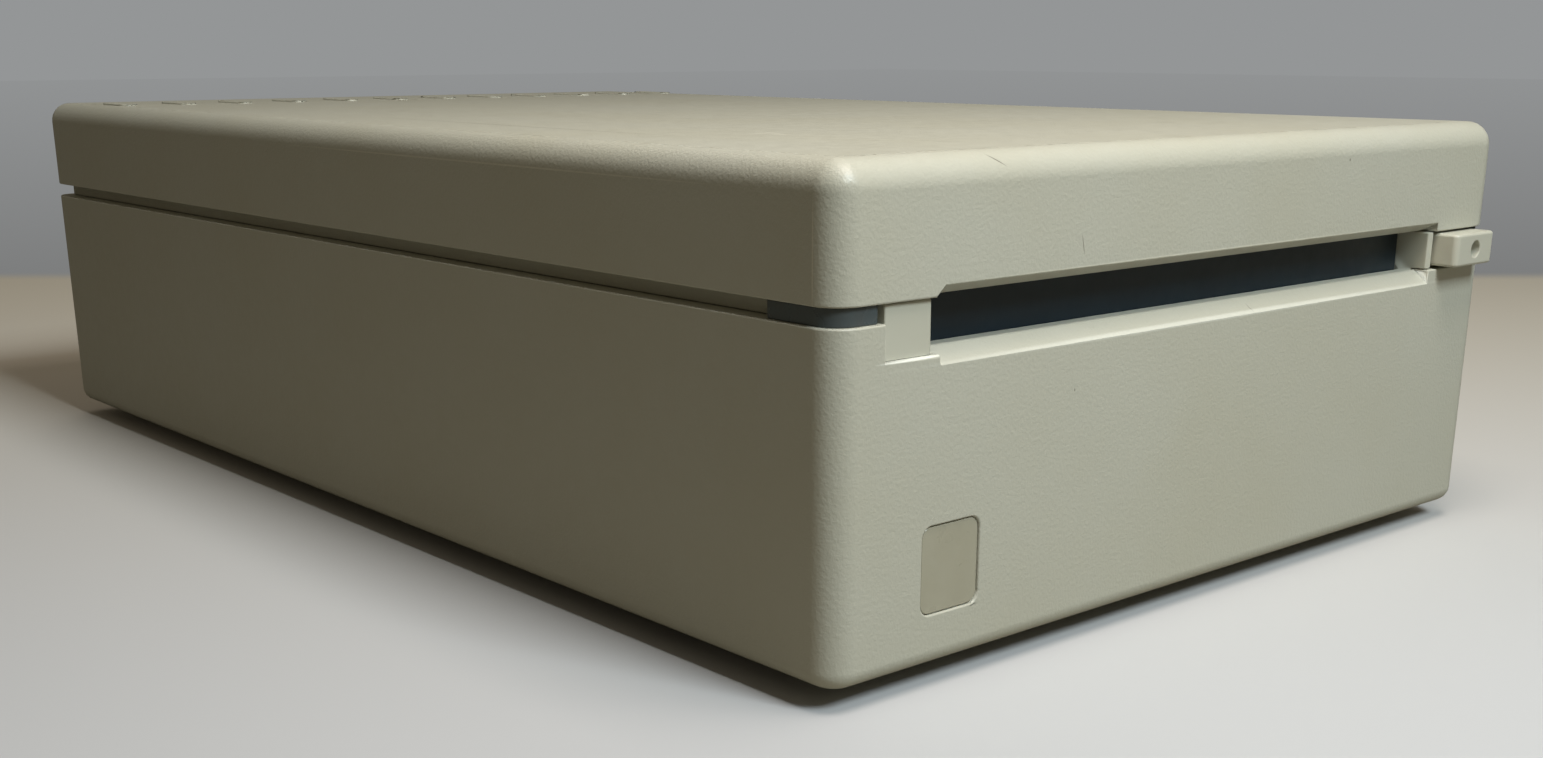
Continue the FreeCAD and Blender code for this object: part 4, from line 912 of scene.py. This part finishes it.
@dataclass
class FrontOpening:
    """Bezel, door, button, trims and badge in the front of the case.

    Attributes:
        strip: Crisp lower edge of the bezel's left strip.
        strip_mm: Height of that edge, and the height at which it sits on the case.
    """

    strip: EdgeZone = EdgeZone((-54.0, -101.4, 34.6), (-46.5, -100.0, 35.0), radius_mm=0.05, steps=1)
    strip_mm: tuple[float, float] = (34.8, 34.72)

    def build(self) -> list[Piece]:
        """Make the front pieces.

        Returns:
            The new pieces.
        """
        rows = (
            Rounded("front_bezel", "case", BEZEL, radius_mm=0.2, zones=(self.strip,),
                    shape=self.seat_strip),
            Rounded("dust_door", "door", DOOR, radius_mm=0.25),
            Rounded("eject_button", "button", BEZEL, radius_mm=0.12),
            Rounded("corner_trim_left", "case", SMOKED, radius_mm=0.15),
            Rounded("corner_trim_right", "case", SMOKED, radius_mm=0.15),
            Rounded("badge_plate", "case", BADGE, radius_mm=0.12),
        )
        return [row.build() for row in rows]

    def seat_strip(self, bm: Mesh) -> None:
        """Let the left strip sit on the case without a gap.

        Args:
            bm: Merged copy of the bezel.
        """
        low, seat = (height * MM for height in self.strip_mm)
        for vert in bm.verts:
            if vert.co.x < 0 and abs(vert.co.z - low) < LEVEL_TOLERANCE:
                vert.co.z = seat


class Underside:
    """Rubber feet."""

    def build(self) -> list[Piece]:
        """Make the feet.

        Returns:
            The new piece, in a list.
        """
        return [Rounded("rubber_feet", "case", RUBBER, radius_mm=0.5, steps=RIM_STEPS).build()]


class RearPanel:
    """Socket, jack posts and cord inlet in the rear wall."""

    def build(self) -> list[Piece]:
        """Make the rear pieces.

        Returns:
            The new pieces.
        """
        rows = (
            Rounded("socket_shell", "case", SHEET, radius_mm=0.15),
            Rounded("socket_insert", "case", BLACK, radius_mm=0.1),
            Rounded("jack_posts", "case", BRIGHT, radius_mm=0.2),
            Rounded("cord_inlet", "case", RUBBER, radius_mm=0.35, steps=RIM_STEPS),
        )
        return [row.build() for row in rows]


@dataclass
class SocketContacts:
    """Gold contacts in the rear socket's insulator.

    Attributes:
        pitch_mm: Distance between contacts in a row.
        rows: Number of contacts and height above the socket's middle, for each row.
        radius_mm: Radius of a contact.
        sunk_mm: Distance of their ends behind the insulator's face.
        length_mm: Length of a contact.
        sides: Faces round a contact.
    """

    pitch_mm: float = 2.77
    rows: tuple[tuple[int, float], ...] = ((10, 1.42), (9, -1.42))
    radius_mm: float = 0.42
    sunk_mm: float = 0.7
    length_mm: float = 4.0
    sides: int = 12

    def build(self) -> list[Piece]:
        """Make the contacts as one piece.

        Returns:
            The new piece, in a list.
        """
        low, high = box_of("socket_insert")
        middle = (low + high) / 2
        y = high.y - (self.sunk_mm + self.length_mm / 2) * MM
        bm = bmesh.new()
        for count, rise in self.rows:
            for x in spread(middle.x, count, self.pitch_mm * MM):
                centre = Vector((x, y, middle.z + rise * MM))
                cylinder(bm, centre, self.radius_mm * MM, self.length_mm * MM, Axis.Y, self.sides)
        return [finish_piece(bm, "socket_contacts", "case", GOLD)]


@dataclass
class BoardParts:
    """Packages and header on the logic board, with their legs and pins.

    Attributes:
        leg_pitch_mm: Distance between legs.
        leg_mm: Width, reach and height of a leg.
        pin_pitch_mm: Distance between header pins.
        pin_mm: Half width and height of a pin.
    """

    leg_pitch_mm: float = 1.27
    leg_mm: Triple = (0.4, 1.0, 1.0)
    pin_pitch_mm: float = 2.54
    pin_mm: tuple[float, float] = (0.3, 3.0)

    def build(self) -> list[Piece]:
        """Make the rounded packages, their legs and the header's pins.

        Returns:
            The new pieces.
        """
        return [
            Rounded("board_chips", "case", BLACK, radius_mm=0.2).build(),
            Rounded("board_header", "case", BLACK, radius_mm=0.25).build(),
            finish_piece(self.legs(), "chip_legs", "case", BRIGHT),
            finish_piece(self.pins(), "header_pins", "case", GOLD),
        ]

    def legs(self) -> Mesh:
        """Rows of legs along both long sides of every package."""
        packages = bmesh.new()
        packages.from_mesh(frame["nodes"]["board_chips"].data)
        bmesh.ops.remove_doubles(packages, verts=packages.verts, dist=MERGE_DISTANCE)
        width, reach, height = (size * MM for size in self.leg_mm)
        pitch, half = self.leg_pitch_mm * MM, width / 2
        legs = bmesh.new()
        for low, high in islands(packages):
            count = int((high.x - low.x) / pitch) - 1
            for x in spread((low.x + high.x) / 2, count, pitch):
                for wall, foot in ((low.y, (low.y - reach, low.y)), (high.y, (high.y, high.y + reach))):
                    block(legs, (x - half, foot[0], low.z), (x + half, foot[1], low.z + half))
                    block(legs, (x - half, wall - half, low.z), (x + half, wall + half, low.z + height))
        packages.free()
        return legs

    def pins(self) -> Mesh:
        """Two rows of square pins on the header."""
        low, high = box_of("board_header")
        half, rise = (size * MM for size in self.pin_mm)
        middle = (low + high) / 2
        pitch = self.pin_pitch_mm * MM
        count = int((high.x - low.x) / pitch) - 1
        pins = bmesh.new()
        for x in spread(middle.x, count, pitch):
            for y in spread(middle.y, 2, pitch):
                block(pins, (x - half, y - half, high.z - half), (x + half, y + half, high.z + rise))
        return pins


@dataclass
class Mechanism:
    """Springs, screw thread and pressed or cast pieces inside the case.

    Attributes:
        spring_wire_mm: Radius of the door spring's wire.
        spring_turns: Turns of the door spring.
        button_travel_mm: Way that the button goes in; not used.
        thread_pitch_mm: Pitch of the lead screw.
        thread_core: Radius of the screw's core as a share of the CAD rod's.
        rod_margin: Share of the rod's radius within which a vertex belongs to the rod.
        axis_mm: Radius within which a vertex lies on the screw's axis.
    """

    spring_wire_mm: float = 0.22
    spring_turns: float = 5.0
    button_travel_mm: float = 2.0
    thread_pitch_mm: float = 3.0
    thread_core: float = 0.82
    rod_margin: float = 1.02
    axis_mm: float = 1.0

    def build(self) -> list[Piece]:
        """Make all pieces of the mechanism that differ from their CAD nodes.

        Returns:
            The new pieces.
        """
        rows = (
            Rounded("drive_frame", "case", CAST, radius_mm=0.3),
            Rounded("top_shield", "case", SHEET, radius_mm=0.12),
            Rounded("disk_holder", "holder", SHEET, radius_mm=0.15),
            Rounded("slide_plate", "slide", SHEET, radius_mm=0.15),
            Rounded("spindle_rotor", "rotor", SHEET, radius_mm=0.25, steps=RIM_STEPS),
            Rounded("stepper_motor", "case", MOTOR, radius_mm=0.4, steps=RIM_STEPS),
            Rounded("eject_motor", "case", MOTOR, radius_mm=0.4, steps=RIM_STEPS),
            Rounded("head_carriage", "carriage", CAST, radius_mm=0.25),
        )
        return [row.build() for row in rows] + [self.button_spring(), self.door_spring(), self.lead_screw()]

    def button_spring(self) -> Piece:
        """Spring of the button, as a merged copy that rides on the button."""
        piece = finish_piece(merged_copy("button_spring"), "button_spring_coil", "button", SPRING)
        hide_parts("button_spring")
        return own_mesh(piece)

    def door_spring(self) -> Piece:
        """Torsion spring of the dust door as a real coil."""
        low, high = box_of("door_spring")
        wire = self.spring_wire_mm * MM
        start = Vector((low.x + wire, (low.y + high.y) / 2, (low.z + high.z) / 2))
        length, radius = high.x - low.x - 2 * wire, (high.z - low.z) / 2 - wire
        bm = bmesh.new()
        coil(bm, start, Axis.X, length, radius, wire, self.spring_turns)
        piece = finish_piece(bm, "door_spring_coil", "case", SPRING)
        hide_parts("door_spring")
        return piece

    def lead_screw(self) -> Piece:
        """Lead screw with its coarse thread."""
        bm = merged_copy("lead_screw")
        low, high = box_of("lead_screw")
        centre = (low + high) / 2
        reach = {vert: math.hypot(vert.co.x - centre.x, vert.co.z - centre.z) for vert in bm.verts}
        rod = min(value for value in reach.values() if value > self.axis_mm * MM)
        on_rod = [vert for vert, value in reach.items() if value < rod * self.rod_margin]
        for vert in on_rod:
            vert.co.x = centre.x + (vert.co.x - centre.x) * self.thread_core
            vert.co.z = centre.z + (vert.co.z - centre.z) * self.thread_core
        ends = [vert.co.y for vert in on_rod]
        wire = rod * (1 - self.thread_core)
        start, length = min(ends) + wire, max(ends) - min(ends) - 2 * wire
        turns = length / (self.thread_pitch_mm * MM)
        coil(bm, Vector((centre.x, start, centre.z)), Axis.Y, length, rod - wire, wire, turns)
        piece = finish_piece(bm, "lead_screw_threaded", "screw", BRIGHT)
        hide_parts("lead_screw")
        return piece


# Studio


@dataclass(frozen=True)
class Lamp:
    """Soft lamp of the studio.

    Attributes:
        name: Name of the lamp.
        place: Its place in metres.
        size: Side of the lamp in metres.
        watts: Power.
        colour: Colour of the light.
    """

    name: str
    place: Triple
    size: float
    watts: float
    colour: str

    def build(self, target: Vector) -> None:
        """Hang the lamp.

        Args:
            target: Point that it faces.
        """
        data = bpy.data.lights.new(self.name, "AREA")
        data.shape = "SQUARE"
        data.size = self.size
        data.energy = self.watts
        data.color = linear(self.colour)[:3]
        lamp = bpy.data.objects.new(self.name, data)
        bpy.context.scene.collection.objects.link(lamp)
        lamp.location = self.place
        lamp.rotation_euler = (lamp.location - target).to_track_quat("Z", "Y").to_euler()
        lamp.visible_camera = False


@dataclass
class Studio:
    """Floor, background, lamps and camera.

    Attributes:
        eye_mm: Camera's place in the shared frame.
        yaw: Turn from +Y towards +X, in radians.
        pitch: Tilt downwards, in radians.
        lens_mm: Focal length.
        sensor_mm: Width of the sensor.
        shift_y: Vertical shift of the picture.
        clip: Nearest and farthest distance that the camera sees, in metres.
        lamps: Soft lamps.
        lit_point: Point that the lamps face, in metres.
        floor_colour: Table near the camera.
        far_floor_colour: Table at its far edge, warmer, and lighter by painted light where the lamps' light
            falls off.
        shade_floor_colour: Table where it only throws light back onto the object.
        far_colour: Background high up.
        low_far_colour: Background just above the table's edge.
        light_colour: World where it lights the object.
        floor_roughness: Roughness of the table.
        floor_gloss: Specular level of the table.
        floor_size: Side of the floor in metres.
        floor_edge: Distance from the camera to the table's far edge, in metres.
        edge_blur: Depth over which the table turns into the background, in metres.
        warm_and_lit_depth: Depth before the edge over which the table turns warmer and lighter, in metres;
            the lightening is painted light.
    """

    eye_mm: Triple = (-168.7, -217.7, 63.8)
    yaw: float = 0.714
    pitch: float = 0.299
    lens_mm: float = 40.6
    sensor_mm: float = 36.0
    shift_y: float = 0.1293
    clip: tuple[float, float] = (0.01, 50.0)
    lamps: tuple[Lamp, ...] = (
        Lamp("front", (-0.012, -0.46, 0.42), size=0.17, watts=2.2, colour="eefbff"),
        Lamp("overhead", (-0.03, -0.145, 0.245), size=0.1, watts=0.37, colour="fff4e8"),
        Lamp("room", (0.3, 0.7, 1.2), size=0.7, watts=1.2, colour="fff0dc"),
    )
    lit_point: Triple = (-0.035, -0.085, 0.04)
    floor_colour: str = "c4c5c8"
    far_floor_colour: str = "f0e7d8"
    shade_floor_colour: str = "8f8a7e"
    far_colour: str = "949697"
    low_far_colour: str = "7c7d7d"
    light_colour: str = "5e584c"
    floor_roughness: float = 0.7
    floor_gloss: float = 0.3
    floor_size: float = 6.0
    floor_edge: float = 0.49
    edge_blur: float = 0.02
    warm_and_lit_depth: float = 0.35

    def build(self) -> None:
        """Set the whole stage up."""
        self.build_world()
        self.build_floor()
        for lamp in self.lamps:
            lamp.build(Vector(self.lit_point))
        self.build_camera()

    def build_world(self) -> None:
        """Background that the camera sees, and a dimmer one that lights the object."""
        world = bpy.data.worlds.new("studio")
        bpy.context.scene.world = world
        world.use_nodes = True
        tree = world.node_tree
        tree.nodes.clear()
        path = add_node(tree, "ShaderNodeLightPath")
        seen = add_node(tree, "ShaderNodeMath", {"operation": "MAXIMUM"},
                        {0: path.outputs["Is Camera Ray"], 1: path.outputs["Is Transmission Ray"]})
        colour = blend(tree, seen.outputs[0], self.light_colour, self.far_colour)
        back = add_node(tree, "ShaderNodeBackground", {"Strength": 1.0}, {"Color": colour})
        add_node(tree, "ShaderNodeOutputWorld", links={"Surface": back.outputs[0]})

    def build_floor(self) -> None:
        """Pale floor that turns into the background's colour behind the object."""
        bm = bmesh.new()
        bmesh.ops.create_grid(bm, x_segments=1, y_segments=1, size=self.floor_size / 2)
        mesh = bpy.data.meshes.new("floor")
        bm.to_mesh(mesh)
        bm.free()
        floor = bpy.data.objects.new("floor", mesh)
        bpy.context.scene.collection.objects.link(floor)
        mesh.materials.append(self.floor_material())

    def floor_material(self) -> bpy.types.Material:
        """Painted table up to its far edge, and the paper behind it.

        Returns:
            The material of the floor.
        """
        material = bpy.data.materials.new("painted_table_and_paper")
        material.use_nodes = True
        tree = material.node_tree
        tree.nodes.clear()
        place = add_node(tree, "ShaderNodeTexCoord").outputs["Object"]
        along = Vector((math.sin(self.yaw), math.cos(self.yaw), 0.0))
        eye = along.dot(Vector(self.eye_mm) * MM)
        edge = eye + self.floor_edge
        reach = add_node(tree, "ShaderNodeVectorMath", {"operation": "DOT_PRODUCT", 1: along},
                         {0: place}).outputs["Value"]
        far = add_node(tree, "ShaderNodeMapRange", {
            "interpolation_type": "SMOOTHSTEP", "From Min": edge, "From Max": edge + self.edge_blur,
        }, {"Value": reach})
        camera_ray = add_node(tree, "ShaderNodeLightPath").outputs["Is Camera Ray"]
        share = add_node(tree, "ShaderNodeMath", {"operation": "MULTIPLY"},
                         {0: far.outputs[0], 1: camera_ray})
        shader = add_node(tree, "ShaderNodeMixShader", links={
            0: share.outputs[0],
            1: self.table(tree, reach, edge, camera_ray),
            2: self.paper(tree, reach, eye),
        })
        add_node(tree, "ShaderNodeOutputMaterial", links={"Surface": shader.outputs[0]})
        return material

    def table(self, tree: Tree, reach: Socket, edge: float, camera_ray: Socket) -> Socket:
        """Painted table, which turns warmer towards its far edge, and lighter there by painted light in place
        of the lamps' light.

        Args:
            tree: Tree of the material.
            reach: Distance along the camera's direction.
            edge: The same distance at the table's far edge.
            camera_ray: One where the camera itself looks.

        Returns:
            Shader socket.
        """
        # Share of the far colour: a warmer tone plus painted light that makes up for the lamps' falloff
        # towards the edge
        warm_and_lit = add_node(tree, "ShaderNodeMapRange", {
            "interpolation_type": "SMOOTHSTEP", "From Min": edge - self.warm_and_lit_depth, "From Max": edge,
        }, {"Value": reach})
        near = blend(tree, warm_and_lit.outputs[0], self.floor_colour, self.far_floor_colour)
        colour = blend(tree, camera_ray, self.shade_floor_colour, near)
        return add_node(tree, "ShaderNodeBsdfPrincipled", {
            "Roughness": self.floor_roughness, "Specular IOR Level": self.floor_gloss,
        }, {"Base Color": colour}).outputs[0]

    def paper(self, tree: Tree, reach: Socket, eye: float) -> Socket:
        """Background paper that glows with a painted gradient of light: lighter with its height in the
        picture.

        Args:
            tree: Tree of the material.
            reach: Distance along the camera's direction.
            eye: The same distance at the camera.

        Returns:
            Shader socket.
        """
        depth = add_node(tree, "ShaderNodeMath", {"operation": "SUBTRACT", 1: eye}, {0: reach})
        low = add_node(tree, "ShaderNodeMath", {"operation": "DIVIDE", 0: self.floor_edge, "use_clamp": True},
                       {1: depth.outputs[0]})
        colour = blend(tree, low.outputs[0], self.far_colour, self.low_far_colour)
        return add_node(tree, "ShaderNodeEmission", {"Strength": 1.0}, {"Color": colour}).outputs[0]

    def build_camera(self) -> None:
        """Camera at the photograph's place."""
        data = bpy.data.cameras.new("camera")
        data.sensor_width = self.sensor_mm
        data.sensor_fit = "HORIZONTAL"
        data.lens = self.lens_mm
        data.shift_y = self.shift_y
        data.clip_start, data.clip_end = self.clip
        camera = bpy.data.objects.new("camera", data)
        bpy.context.scene.collection.objects.link(camera)
        camera.location = Vector(self.eye_mm) * MM
        camera.rotation_euler = (math.pi / 2 - self.pitch, 0.0, -self.yaw)
        bpy.context.scene.camera = camera


def main() -> None:
    """Build the drive and its studio."""
    logging.basicConfig(level=logging.INFO, format="%(name)s: %(message)s")
    bpy.context.scene.view_settings.view_transform = "Standard"
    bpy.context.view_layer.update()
    WORKSHOP.dress_nodes(sorted(frame["nodes"]))
    for part in (CaseShells(), FrontOpening(), Underside(), RearPanel(), SocketContacts(), BoardParts(),
                 Mechanism()):
        part.build()
    Studio().build()


if __name__ == "__main__":
    main()
